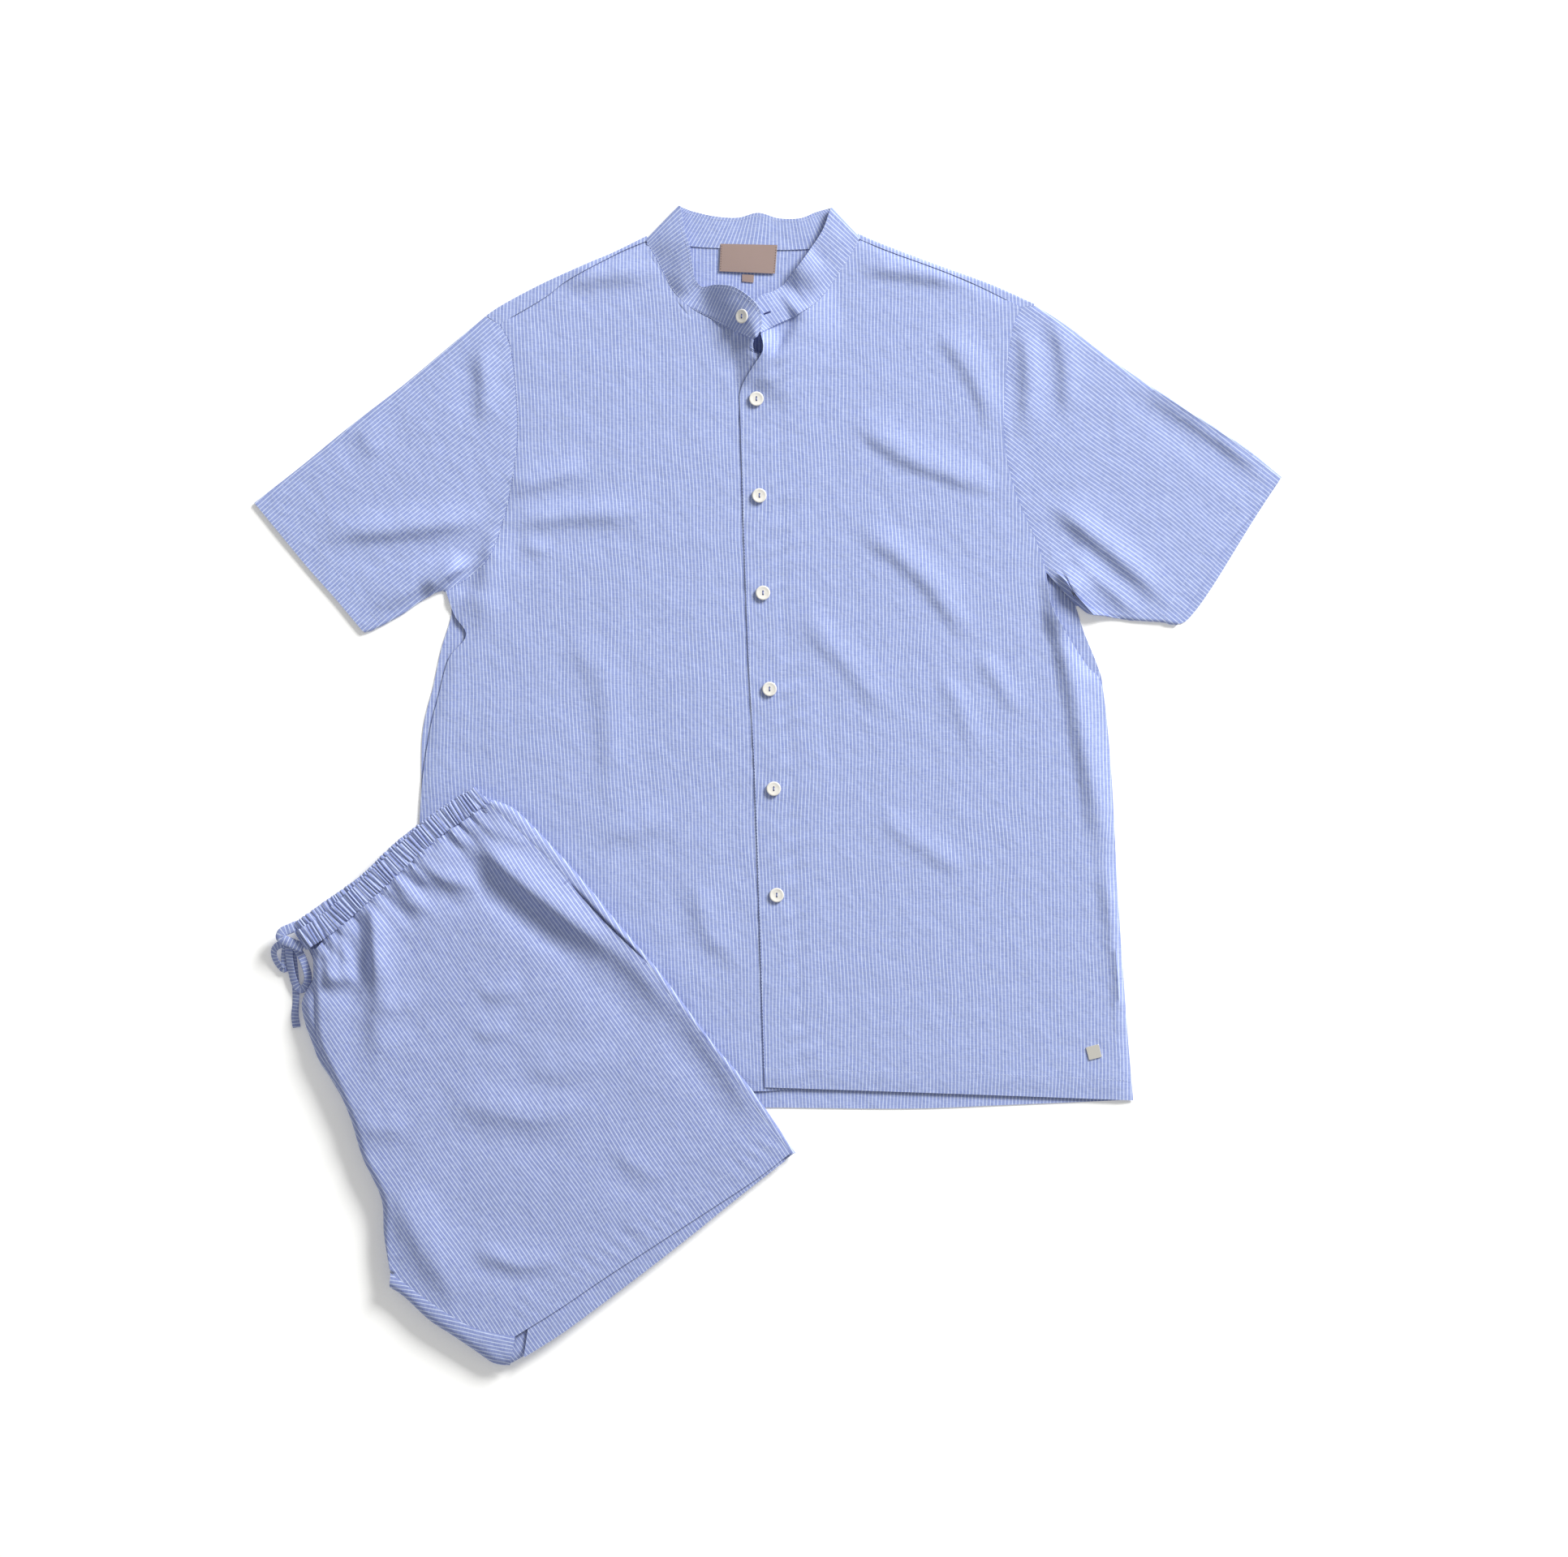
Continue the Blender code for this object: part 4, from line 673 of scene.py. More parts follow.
def across_band(seam, top, roll, lift=0.0):
    """The band from its seam to its top edge, rolled outwards, lifted at the seam and dented by the folds."""
    share = np.r_[0, 0.03, np.linspace(0.1, 1, ACROSS - 2)][None, :, None]
    points = seam[:, None] * (1 - share) + top[:, None] * share
    at_seam = ease(0, 0.03, share[..., 0]) * (1 - ease(0.4, 1, share[..., 0]))
    by_throat = 1 - ease(30, 75, np.hypot(seam[:, None, 0] + 4, seam[:, None, 1] - 370))
    points[..., 2] += lift * at_seam * by_throat
    points[..., 2] += roll * np.sin(math.pi * share[..., 0]) * ease(6.5, 9, top[:, None, 2])
    for x, y, reach, depth in DENTS:
        away = (points[..., 0] - x) ** 2 + (points[..., 1] - y) ** 2
        points[..., 2] -= roll * depth * np.exp(-away / reach**2)
    return points


def top_edge(sections, shares, count):
    """The collar's top edge, each place opposite its share of the seam."""
    smooth_points = smooth(sections, 6 * count)
    sections = np.array(sections, float)
    wanted = np.linspace(0, 1, count)
    guide = np.stack([np.interp(wanted, shares, sections[:, k]) for k in range(3)], axis=1)
    nearest = np.argmin(np.linalg.norm(guide[:, None] - smooth_points[None], axis=2), axis=1)
    result = smooth_points[nearest]
    result[0], result[-1] = sections[0], sections[-1]
    return result


right_seam = raised(smooth(line("right neckline", COUNT["neck"]), 72), under_height)
lifted_end = 1 - ease(0.0, 0.17, np.linspace(0, 1, len(right_seam)))
right_seam[:, 2] += (14.6 - right_seam[:, 2]) * lifted_end
right_band = across_band(right_seam, top_edge(RIGHT_TOP, RIGHT_SHARE, len(right_seam)), 1.4, 2.6)
left_seam = raised(smooth(line("left neckline", COUNT["neck"]), 72), lap_height)
left_band = across_band(left_seam, top_edge(LEFT_TOP, LEFT_SHARE, len(left_seam)), 1.4, 2.2)
neck = line("back neckline", 64)
neck[0] = shoulder_lows[0][0] + (4.0, 1.2)
neck[-1] = shoulder_lows[1][0] + (-4.0, 1.2)
back_top = top_edge(BACK_TOP, np.linspace(0, 1, len(BACK_TOP)), len(neck))
back_band = across_band(raised(neck, BACK_Z + 0.9), back_top, 0.0)
right_band[-1, 0, 0] += 4.0
left_band[-1, 0, 0] -= 4.0
shoulder_roll = ((0.2, 0.9), (0.5, 1.5), (0.8, 0.9))
right_turn = rolled_edge(right_band[-1], back_band[0], back_band[2], shoulder_roll)
left_turn = rolled_edge(left_band[-1], back_band[-1], back_band[-3], shoulder_roll)
points = np.array([*right_band, *right_turn, *back_band, *left_turn[::-1], *left_band[::-1]])
travelled = np.r_[0, np.cumsum(np.linalg.norm(np.diff(points[:, ACROSS // 2], axis=0), axis=1))]
places = np.zeros(points.shape[:2] + (2,))
places[..., 0] = travelled[:, None]
places[..., 1] = np.linspace(0, COLLAR_WIDTH, ACROSS)[None, :]
collar = cloth("shirt_collar", [(points, places)], thickness=0.9)
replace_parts(collar, "shirt_collar")
collar_rows = [grid[2:-2, i] + ROW_ABOVE for grid in (right_band, left_band) for i in (1, ACROSS - 2)]
collar_rows.append(back_band[3:-3, ACROSS - 2] + ROW_ABOVE)
stitches("collar_stitches", collar_rows, None, 2.4)

# Buttonhole: the open one at the collar's far end, a slit overcast with thread whose colour is darkened to
# navy as painted shade of the open slit.
STRIP_SECTION = [(-0.5, 0), (-0.47, 0.32), (-0.4, 0.5), (0, 0.44), (0.4, 0.5), (0.47, 0.32), (0.5, 0),
                 (0.47, -0.32), (0.4, -0.5), (0, -0.44), (-0.4, -0.5), (-0.47, -0.32), (-0.5, 0)]


def strip(name, route, width, thickness, steps, surface):
    """A flat folded strip along a route of x, y, z and how far it stands on its edge, in degrees."""
    route = np.array([(*spot, 0)[:4] for spot in route], float)
    path = smooth(route, steps)
    turned = np.radians(path[:, 3])
    path = path[:, :3]
    along = np.gradient(path, axis=0)
    along /= np.linalg.norm(along, axis=1)[:, None]
    flat = np.stack([-along[:, 1], along[:, 0], np.zeros(steps)], axis=1)
    flat /= np.linalg.norm(flat, axis=1)[:, None]
    up = np.cross(along, flat)
    side = flat * np.cos(turned)[:, None] + up * np.sin(turned)[:, None]
    face = np.cross(along, side)
    count = len(STRIP_SECTION)
    rings = [point + width * a * s + thickness * b * f for point, s, f in zip(path, side, face)
             for a, b in STRIP_SECTION]
    rings = np.array(rings).reshape(steps, count, 3)
    rings = np.array([[path[0]] * count, *rings, [path[-1]] * count])
    rings[..., 2] = np.maximum(rings[..., 2], 0.15)
    travelled = np.r_[0, np.cumsum(np.linalg.norm(np.diff(path, axis=0), axis=1))]
    places = np.zeros(rings.shape[:2] + (2,))
    places[..., 0] = np.r_[0, travelled, travelled[-1]][:, None]
    places[..., 1] = np.array([a * width for a, b in STRIP_SECTION])[None, :]
    return cloth(name, [(rings, places)], surface, thickness=0), path


def height_on(grid, x, y):
    """The height of the collar's point nearest to this place."""
    points = grid.reshape(-1, 3)
    return points[np.argmin(np.hypot(points[:, 0] - x, points[:, 1] - y)), 2]


SLIT_SHADE_THREAD = new_material("slit_thread_painted_shade", "#27306B", 0.7)[0]  # spun polyester, its dark navy painted shade of the open slit
slit_low, slit_high = height_on(left_band, -3, 393.8), height_on(left_band, 2.4, 395.8)
strip("buttonhole", [(-3, 393.8, slit_low + 0.75), (0, 395, (slit_low + slit_high) / 2 + 0.8),
                     (2.4, 395.8, slit_high + 0.75)], 1.3, 0.5, 12, SLIT_SHADE_THREAD)

# Labels: a woven satin neck label sewn at both ends below the collar seam, and a small folded tab
# under it. Both are left bare.
RIBS = 900.0  # the wave's scale, which sets the ribs 0.35 mm apart
satin, satin_shader = new_material("rose_satin", "#96817A", 0.4)  # woven satin: soft gloss, fine ribs
tree = satin.node_tree
place = node(tree, "ShaderNodeTexCoord").outputs["Object"]
ribs = node(tree, "ShaderNodeTexWave", {"Vector": place, "Scale": RIBS, "Distortion": 0.4}).outputs["Fac"]
ribbed = node(tree, "ShaderNodeBump", {"Height": ribs, "Strength": 0.2, "Distance": 0.0002})
tree.links.new(ribbed.outputs[0], satin_shader.inputs["Normal"])
satin_shader.inputs["Sheen Weight"].default_value = 0.3


def small_panel(name, corners, z, cells, thickness, bulge):
    """A four-sided panel from its corners in mm, a little raised in the middle and at its free edge."""
    a, b, c, d = np.array(corners, float)
    u = np.linspace(0, 1, cells[0])[None, :, None]
    v = np.linspace(0, 1, cells[1])[:, None, None]
    flat = (1 - v) * ((1 - u) * a + u * b) + v * ((1 - u) * d + u * c)
    points = raised(flat, z)
    points[..., 2] += bulge * np.sin(math.pi * u[..., 0]) * np.sin(0.5 * math.pi * (0.2 + 0.8 * v[..., 0]))
    piece = cloth(name, [(points, lying(points))], satin, thickness)
    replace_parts(piece, name)
    return piece


LABEL_CORNERS = [(-39.5, 453), (8, 452), (6, 428), (-40.5, 430)]
TAB_CORNERS = [(-21.5, 427.5), (-11.5, 427), (-12, 420.5), (-21.5, 421.5)]
label = small_panel("neck_label", LABEL_CORNERS, 2.4, (24, 14), 0.35, 0.5)
tab = small_panel("size_tab", TAB_CORNERS, 1.6, (6, 5), 0.3, 0.1)
ROSE_THREAD = new_material("rose_thread", "#6E5A53", 0.6)[0]  # spun polyester, darker than the label
stitches("label_stitches", [[(-38.6, 452, 2.8), (-39.5, 431, 2.8)], [(7.1, 451, 2.8), (5.2, 429, 2.8)]], None,
         2.2, ROSE_THREAD)

# Buttons: seven turned from pale shell, dished inside a rounded rim, and sewn on through two holes
# with blue thread. The first lies undone on the collar's end, tilted with it. The profile is the
# radius and height of each turned edge, from the flat underside round the rim to the dish.
BUTTON_PROFILE = [(4.3, 0.0), (5.2, 0.2), (5.85, 0.6), (6.1, 1.1), (6.0, 1.55), (5.7, 1.86), (5.2, 1.98),
                  (4.7, 1.90), (3.8, 1.64), (2.6, 1.52), (0.0, 1.50)]
HOLE_RADIUS, HOLE_Y = 0.75, 1.35
TILT = -34
BUTTON_Z = 5.4
THREAD_TOP = 1.5
BUTTONS = [(-21, 391), (-9.5, 323), (-7, 242), (-4, 160.5), (1.5, 80), (5, -3.5), (7.5, -92.5)]

# polished river shell: smooth and clouded, with a thin clear gloss
pearl, pearl_shader = new_material("pearl_shell", "#E6E3DA", 0.22)
tree = pearl.node_tree
place = node(tree, "ShaderNodeTexCoord").outputs["Object"]
cloud = node(tree, "ShaderNodeTexNoise", {"Vector": place, "Scale": 160.0, "Detail": 3.0, "Distortion": 1.5})
tone = node(tree, "ShaderNodeMix", {"Factor": cloud.outputs["Fac"], 6: srgb("#F2F0EA"), 7: srgb("#CFCBC0")},
            data_type="RGBA")
tree.links.new(tone.outputs[2], pearl_shader.inputs["Base Color"])
pearl_shader.inputs["Coat Weight"].default_value = 0.5
pearl_shader.inputs["Coat Roughness"].default_value = 0.1

bpy.ops.object.select_all(action="DESELECT")
bpy.ops.mesh.primitive_circle_add(vertices=48, radius=BUTTON_PROFILE[0][0] * MM, fill_type="NGON")
blank = bpy.context.object
bpy.ops.object.mode_set(mode="EDIT")
bpy.ops.mesh.select_mode(type="FACE")
bpy.ops.mesh.select_all(action="SELECT")
for (radius, height), (next_radius, next_height) in zip(BUTTON_PROFILE, BUTTON_PROFILE[1:]):
    bpy.ops.mesh.extrude_region_move(TRANSFORM_OT_translate={"value": (0, 0, (next_height - height) * MM)})
    bpy.ops.transform.resize(value=(next_radius / radius, next_radius / radius, 1), center_override=(0, 0, 0))
bpy.ops.mesh.select_all(action="SELECT")
bpy.ops.mesh.remove_doubles(threshold=0.00001)
bpy.ops.mesh.normals_make_consistent(inside=False)
bpy.ops.object.mode_set(mode="OBJECT")
for y in (-HOLE_Y, HOLE_Y):
    bpy.ops.mesh.primitive_cylinder_add(vertices=20, radius=HOLE_RADIUS * MM, depth=8 * MM,
                                        location=(0, y * MM, 0))
    drill = bpy.context.object
    hole = blank.modifiers.new("Hole", "BOOLEAN")
    hole.object = drill
    bpy.context.view_layer.objects.active = blank
    bpy.ops.object.modifier_apply(modifier="Hole")
    bpy.data.objects.remove(drill)
blank.data.materials.append(pearl)

for number, (x, y) in enumerate(BUTTONS, 1):
    if number == 1:
        tilt = math.radians(TILT)
        z = height_on(right_band, x, y) + 1.4
    else:
        tilt = 0.0
        z = max(BUTTON_Z, float(lap_height(np.array([x]), np.array([y]))[0]) + 0.5)
    mesh = blank.data.copy()
    mesh.transform(Matrix.Translation((x * MM, y * MM, z * MM)) @ Matrix.Rotation(tilt, 4, "Y"))
    mesh.shade_smooth()
    button = bpy.data.objects.new(f"pearl_button_{number}", mesh)
    bpy.context.scene.collection.objects.link(button)
    rim = button.modifiers.new("Rim", "EDGE_SPLIT")
    rim.split_angle = math.radians(50)
    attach(button, "root")
    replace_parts(button, f"button_{number}")
    x += THREAD_TOP * math.sin(tilt)
    z -= THREAD_TOP * (1 - math.cos(tilt))
    sewn = [(x, y - 1.45, z + 0.8), (x, y - 0.95, z + THREAD_TOP), (x, y + 0.95, z + THREAD_TOP),
            (x, y + 1.45, z + 0.8)]
    strip(f"button_thread_{number}", sewn, 0.8, 0.6, 16, BLUE_THREAD)
bpy.data.objects.remove(blank)

# Metal plate: a small square of satin metal with rounded corners and edges, left bare, sewn on at
# its corners near the hem.
PLATE_X, PLATE_Y = 273.0, -224.0
PLATE_SIDE, PLATE_DEPTH, PLATE_TURN = 11.2, 0.9, 14.5
CORNER_ROUND, RIM_ROUND = 1.0, 0.3
metal, metal_shader = new_material("satin_metal", "#E9E6DC", 0.42, 0.85)  # brushed zinc, pale and soft


def bevel_edges(mesh, wanted, offset, segments):
    """Rounds the edges that pass the test, in edit mode."""
    bpy.ops.mesh.select_mode(type="EDGE")
    bpy.ops.mesh.select_all(action="DESELECT")
    shape = bmesh.from_edit_mesh(mesh)
    for edge in filter(wanted, shape.edges):
        edge.select_set(True)
    bmesh.update_edit_mesh(mesh)
    bpy.ops.mesh.bevel(offset=offset * MM, segments=segments, affect="EDGES")


def upright(edge):
    return abs(edge.verts[0].co.z - edge.verts[1].co.z) > 0.1 * MM


def top_rim(edge):
    tilts = [face.normal.z for face in edge.link_faces]
    return max(tilts) > 0.5 and min(tilts) < 0.5 and min(vert.co.z for vert in edge.verts) > 0


bpy.ops.object.select_all(action="DESELECT")
bpy.ops.mesh.primitive_cube_add(size=1)
plate = bpy.context.object
plate.name = "square_plate"
bpy.ops.object.mode_set(mode="EDIT")
plate_size = (PLATE_SIDE * MM, PLATE_SIDE * MM, PLATE_DEPTH * MM)
bpy.ops.transform.resize(value=plate_size, center_override=(0, 0, 0))
bevel_edges(plate.data, upright, CORNER_ROUND, 5)
bevel_edges(plate.data, top_rim, RIM_ROUND, 3)
bpy.ops.object.mode_set(mode="OBJECT")
plate_z = float(lap_height(np.array([PLATE_X]), np.array([PLATE_Y]))[0]) + 1.0
plate.data.transform(Matrix.Translation((PLATE_X * MM, PLATE_Y * MM, plate_z * MM))
                     @ Matrix.Rotation(math.radians(PLATE_TURN), 4, "Z"))
plate.data.materials.append(metal)
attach(plate, "root")
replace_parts(plate, "metal_plate")

# Shorts, near leg's front: laid folded in half along the rise, on the shirt's lower corner. The cloth
# falls gently from the waist to the hem and the side, with one large fold from the side seam, where
# the pocket's mouth is left open between two bar tacks.
SHORTS = {
    "waist seam": [(-380, -140), (-363, -124), (-337.5, -102.5), (-319.5, -87), (-300.5, -68),
                   (-283.5, -52.5), (-259, -35.5), (-242, -21), (-233, -16)],
    "rise": [(-380, -140), (-379, -175.5), (-376.5, -213), (-364, -243.5), (-349, -277.5), (-338.5, -311.5),
             (-323, -345.5), (-320.5, -376), (-315, -408)],
    "far rise": [(-388, -132), (-380.5, -148), (-381, -162), (-387.5, -174), (-390.5, -184), (-387.5, -200),
                 (-382, -215), (-375.5, -232), (-365, -248), (-349, -277.5), (-338.5, -311.5), (-323, -345.5),
                 (-320.5, -376), (-315, -408)],
    "inseam": [(-315, -408), (-300, -419), (-272.5, -438.5), (-249, -452), (-231, -457.5), (-211, -461)],
    "front hem": [(-211, -461), (-174, -438), (-132.5, -410), (-63, -365), (-11, -331), (19.5, -308)],
    "side seam": [(-233, -16), (-218.5, -28.5), (-185, -60), (-164, -82.5), (-135.5, -113), (-104, -145),
                  (-84, -173), (-54, -209), (-16, -262), (19.5, -308)],
    "side fold": [(-230, -13), (-218.5, -17), (-207.5, -24), (-179.5, -52.5), (-149, -87), (-124.5, -117),
                  (-96.5, -149.5), (-79, -172), (-44, -219), (-13, -256), (23, -308.5)],
    "inseam fold": [(-316, -420), (-303.5, -428.5), (-283, -447.5), (-262.5, -461), (-243.5, -474),
                    (-228.5, -484), (-215.5, -485.5)],
    "back hem": [(-215.5, -485.5), (-201.5, -477.5), (-166.5, -455), (-103.5, -408), (-63, -376.5),
                 (-42, -359.5), (-19.5, -341.5), (6, -321.5), (23, -308.5)],
    "front band": [(-390.5, -130.5), (-368.5, -116.5), (-342.5, -94), (-322.5, -75.5), (-302, -56.5),
                   (-279.5, -36.5), (-254.5, -19), (-239.5, -8.5)],
    "back band": [(-393, -124), (-369, -107), (-335, -82.5), (-306, -55), (-273, -29.5), (-250, -14),
                  (-241, -10)],
    "far band": [(-391, -120), (-371, -104), (-338, -79), (-310, -53), (-278, -29.5), (-256, -14.5),
                 (-243, -6)],
}
SHORTS_FOLDS = [
    (-250, -38, -205, -82, -128, -140, 15, 10.5),
    (-165, -112, -112, -150, -66, -200, 20, 5.0),
    (-84, -170, -40, -230, -4, -286, 15, 3.2),
    (-256, -30, -222, -40, -190, -56, 9, 2.0),
    (-296, -60, -270, -78, -236, -86, 11, 4.6),
    (-314, -78, -299, -96, -283, -109, 8, 3.4),
    (-329, -96, -325, -165, -327, -250, 14, 4.0),
    (-331, -97, -329, -125, -327, -175, 8, 5.5),
    (-300, -62, -292, -76, -280, -84, 5, 2.0),
    (-338, -108, -337, -122, -335, -140, 4, 1.4),
    (-268, -36, -258, -46, -247, -52, 5, 1.6),
    (-364, -122, -362, -138, -361, -150, 5, 1.6),
    (-355, -112, -354, -132, -352, -160, 6, 2.0),
    (-371, -132, -367, -153, -363, -175, 6, 1.6),
    (-374, -159, -358, -162, -340, -158, 9, 4.2),
    (-345, -116, -343, -130, -340, -148, 5, 1.6),
    (-283, -50, -270, -62, -262, -70, 6, 1.6),
    (-330, -184, -310, -186, -288, -180, 12, 2.0),
    (-244, -172, -226, -175, -205, -170, 9, 1.8),
    (-246, -206, -232, -208, -214, -203, 8, 1.6),
    (-275, -262, -190, -277, -140, -258, 17, 3.0),
    (-348, -282, -322, -288, -296, -284, 14, 2.2),
    (-313, -330, -290, -380, -252, -440, 20, 4.4),
    (-252, -386, -204, -402, -168, -392, 9, 2.2),
    (-210, -230, -170, -240, -120, -222, 16, 1.6),
    (-130, -300, -110, -320, -80, -330, 12, 1.4),
]
SHORTS_HEM = [(10, -295), (-15, -313), (-63, -346), (-115, -380), (-143, -397), (-186, -424), (-219, -446)]
SHIRT_LEFT, SHIRT_BOTTOM = -300.0, -272.0
# the near end of the waistband, and the way it runs: the sine and cosine of 35 degrees
WAIST_X, WAIST_Y = -380, -140
WAIST_SINE, WAIST_COSINE = 0.574, 0.819
WAIST_Z = 20.0
POCKET_NEAR, POCKET_FAR = np.array((-166, -82)), np.array((-103, -146))
ACROSS_LEG, DOWN_RISE, DOWN_INSEAM = 90, 74, 36
RISE_ROUND = 5.0


def shorts_line(name, count):
    return smooth(SHORTS[name], count)


def shorts_slope(x, y):
    """The folded shorts' thickness falls away from the waistband's near end."""
    down = (x - WAIST_X) * WAIST_SINE - (y - WAIST_Y) * WAIST_COSINE
    across = (x - WAIST_X) * WAIST_COSINE + (y - WAIST_Y) * WAIST_SINE
    return WAIST_Z - 0.0155 * down - 0.026 * across


WAIST = shorts_line("waist seam", 30)


def shorts_height(x, y):
    """Middle of the shorts' top layer."""
    side, along, _ = beside(WAIST, x, y)
    away = np.abs(side)
    gathers = 1.0 * np.cos(2 * math.pi * along / 5.2 + 1.6 * np.sin(along * 0.09)) * np.exp(-away / 8)
    pleat = np.abs(np.sin(math.pi * (along / 14.5 + 0.3 * np.sin(along * 0.075) + 0.2 * np.sin(side * 0.06))))
    gathers += 1.3 * (2 * pleat ** 0.75 - 1.3) * np.exp(-away / (15 + 15 * np.sin(along * 0.12) ** 2))
    z = shorts_slope(x, y) + ridges(SHORTS_FOLDS, x, y) + gathers
    z = z + swell(x, y, 29, 0.55, 1.0) + swell(x, y, 13, 0.16, 3.0)
    return z + puckers(SHORTS_HEM, x, y, 12, 13, 0.5, 0.4)


def shorts_floor(x, y):
    """What the shorts lie on: the shirt's layers, and the table beyond its edge."""
    off_shirt = np.maximum(SHIRT_LEFT - x, SHIRT_BOTTOM - y)
    return 4.0 * (1 - ease(26, 62, off_shirt))


rise = shorts_line("rise", DOWN_RISE)
inseam = shorts_line("inseam", DOWN_INSEAM)
roll_inset = RISE_ROUND * ease(1.0, 0.8, np.linspace(0, 1, DOWN_RISE))
normal = np.gradient(rise, axis=0)
normal /= np.linalg.norm(normal, axis=1)[:, None]
normal = np.stack([-normal[:, 1], normal[:, 0]], axis=1)
left = np.vstack([rise + normal * roll_inset[:, None], inseam[1:]])
right = shorts_line("side seam", len(left))
mouth = POCKET_FAR - POCKET_NEAR
down_pocket = (right - POCKET_NEAR) @ (mouth / np.linalg.norm(mouth)) / np.linalg.norm(mouth)
pocket_open = np.clip(1 - (2 * down_pocket - 1) ** 2, 0, 1) ** 0.6
top = shorts_line("waist seam", ACROSS_LEG)
bottom = shorts_line("front hem", ACROSS_LEG)
share = np.linspace(0, 1, ACROSS_LEG)[:, None]
top = top + (left[0] - top[0]) * (1 - ease(0, 0.14, share))
top[-1], bottom[0], bottom[-1] = right[0], left[-1], right[-1]
leg_plane = patch(top, bottom, left, right)
leg_plane[:, -1] += (leg_plane[:, -2] - leg_plane[:, -1]) * 0.12
leg_plane[:, -1] -= pocket_open[:, None] * np.array((1.3, 1.3))
leg = raised(leg_plane, shorts_height)
leg[:, -1, 2] += 0.5 * pocket_open

# the cloth rolls down over the rise, and its top row is tucked under the waistband
roll = []
for share, inset in ((1.0, 0.02), (0.6, 0.12), (0.3, 0.36), (0.1, 0.66)):
    spot = rise + normal * (roll_inset * inset)[:, None]
    top_z = shorts_height(spot[:, 0], spot[:, 1])
    depth = 0.35 * (top_z - shorts_floor(rise[:, 0], rise[:, 1])) * roll_inset / RISE_ROUND
    column = np.column_stack([spot, top_z - share * depth])
    roll.append(np.vstack([column, leg[DOWN_RISE:, 0]]))
front_leg = np.concatenate([np.array(roll).transpose(1, 0, 2), leg], axis=1)
front_leg = np.concatenate([front_leg[:1] + (-2.2, 2.7, -1.3), front_leg])
near_front = cloth("shorts_near_leg_front", [(front_leg, lying(front_leg, 35))], SHADED_SHORTS_COTTON)
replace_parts(near_front, "shorts_near_leg_front")

stitches("shorts_hem_stitches", [SHORTS_HEM], shorts_height)
bar_tacks = [[(x - 2.6 + 0.5 * k, y - 2.6 - 0.5 * k), (x + 2.2 + 0.5 * k, y + 2.2 - 0.5 * k)]
             for x, y in ((-168, -80), (-102, -147)) for k in range(3)]
stitches("pocket_bar_tacks", bar_tacks, lambda x, y: shorts_height(x, y) + 0.2, 1.2, BLUE_THREAD)

# Near leg's back: it shows as a margin beside the side seam, rolled over the outer fold, as a
# second layer below the front's hem, and as a margin along the inseam.
MARGIN_ROWS = [(0.2, -0.02), (0.4, -0.05), (0.6, 0.0), (0.75, 0.08), (0.87, 0.26), (0.95, 0.55), (1.0, 1.0)]


def margin(seam, inner, edge):
    """A strip from under the seam out to a folded edge. Each of its rows has its share of the way out and
    how far it has turned down. `inner` is the row of cloth inside the seam."""
    out = edge[:, :2] - seam[:, :2]
    width = np.linalg.norm(out, axis=1)[:, None]
    out = out / width
    tuck = seam + (inner - seam) / np.linalg.norm(inner - seam, axis=1)[:, None] * 3.0
    depth = 0.4 * (seam[:, 2] - shorts_floor(edge[:, 0], edge[:, 1]))
    middle = edge[:, :2] - out * width * 0.5
    crown = shorts_height(middle[:, 0], middle[:, 1])
    rows = [np.column_stack([tuck[:, :2], tuck[:, 2] - 1.2]),
            np.column_stack([seam[:, :2] - out * 0.8, seam[:, 2] - 0.5]),
            np.column_stack([seam[:, :2] + out * np.minimum(0.5, 0.3 * width), seam[:, 2] + 0.1])]
    for share, fall in MARGIN_ROWS:
        height = seam[:, 2] * (1 - share) + crown * share - fall * depth
        rows.append(np.column_stack([seam[:, :2] + out * width * np.maximum(share, 0.12), height]))
    return np.array(rows)


side_seam = leg[:, -1] + pocket_open[:, None] * np.array((1.3, 1.3, -0.5))
side_strip = margin(side_seam, leg[:, -4], shorts_line("side fold", len(left)))
side_strip[:2, :, 2] -= 2.6 * pocket_open
side_strip[2, :, 2] -= 0.9 * pocket_open
hem_row, inner_row = leg[-1], leg[-5]
hem_edge = raised(shorts_line("back hem", ACROSS_LEG), shorts_height)
hem_strip = np.array([hem_row * 0.4 + inner_row * 0.6, hem_row, (hem_row + hem_edge) / 2, hem_edge])
hem_strip[..., 2] -= np.array([2.0, 1.7, 1.7, 2.0])[:, None]
hem_strip = hem_strip[:, 4:-3]
inseam_strip = margin(leg[DOWN_RISE - 1:, 0], leg[DOWN_RISE - 1:, 4], shorts_line("inseam fold", DOWN_INSEAM))
back_grids = [(side_strip, lying(side_strip, 31)), (hem_strip, lying(hem_strip, 35))]
near_back = cloth("shorts_near_leg_back", back_grids, SHADED_SHORTS_COTTON)
near_inseam = cloth("shorts_near_leg_inseam", [(inseam_strip, lying(inseam_strip, 78))], SHADED_SHORTS_COTTON)
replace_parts(near_back, "shorts_near_leg_back")
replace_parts(near_inseam, "shorts_near_leg_inseam")

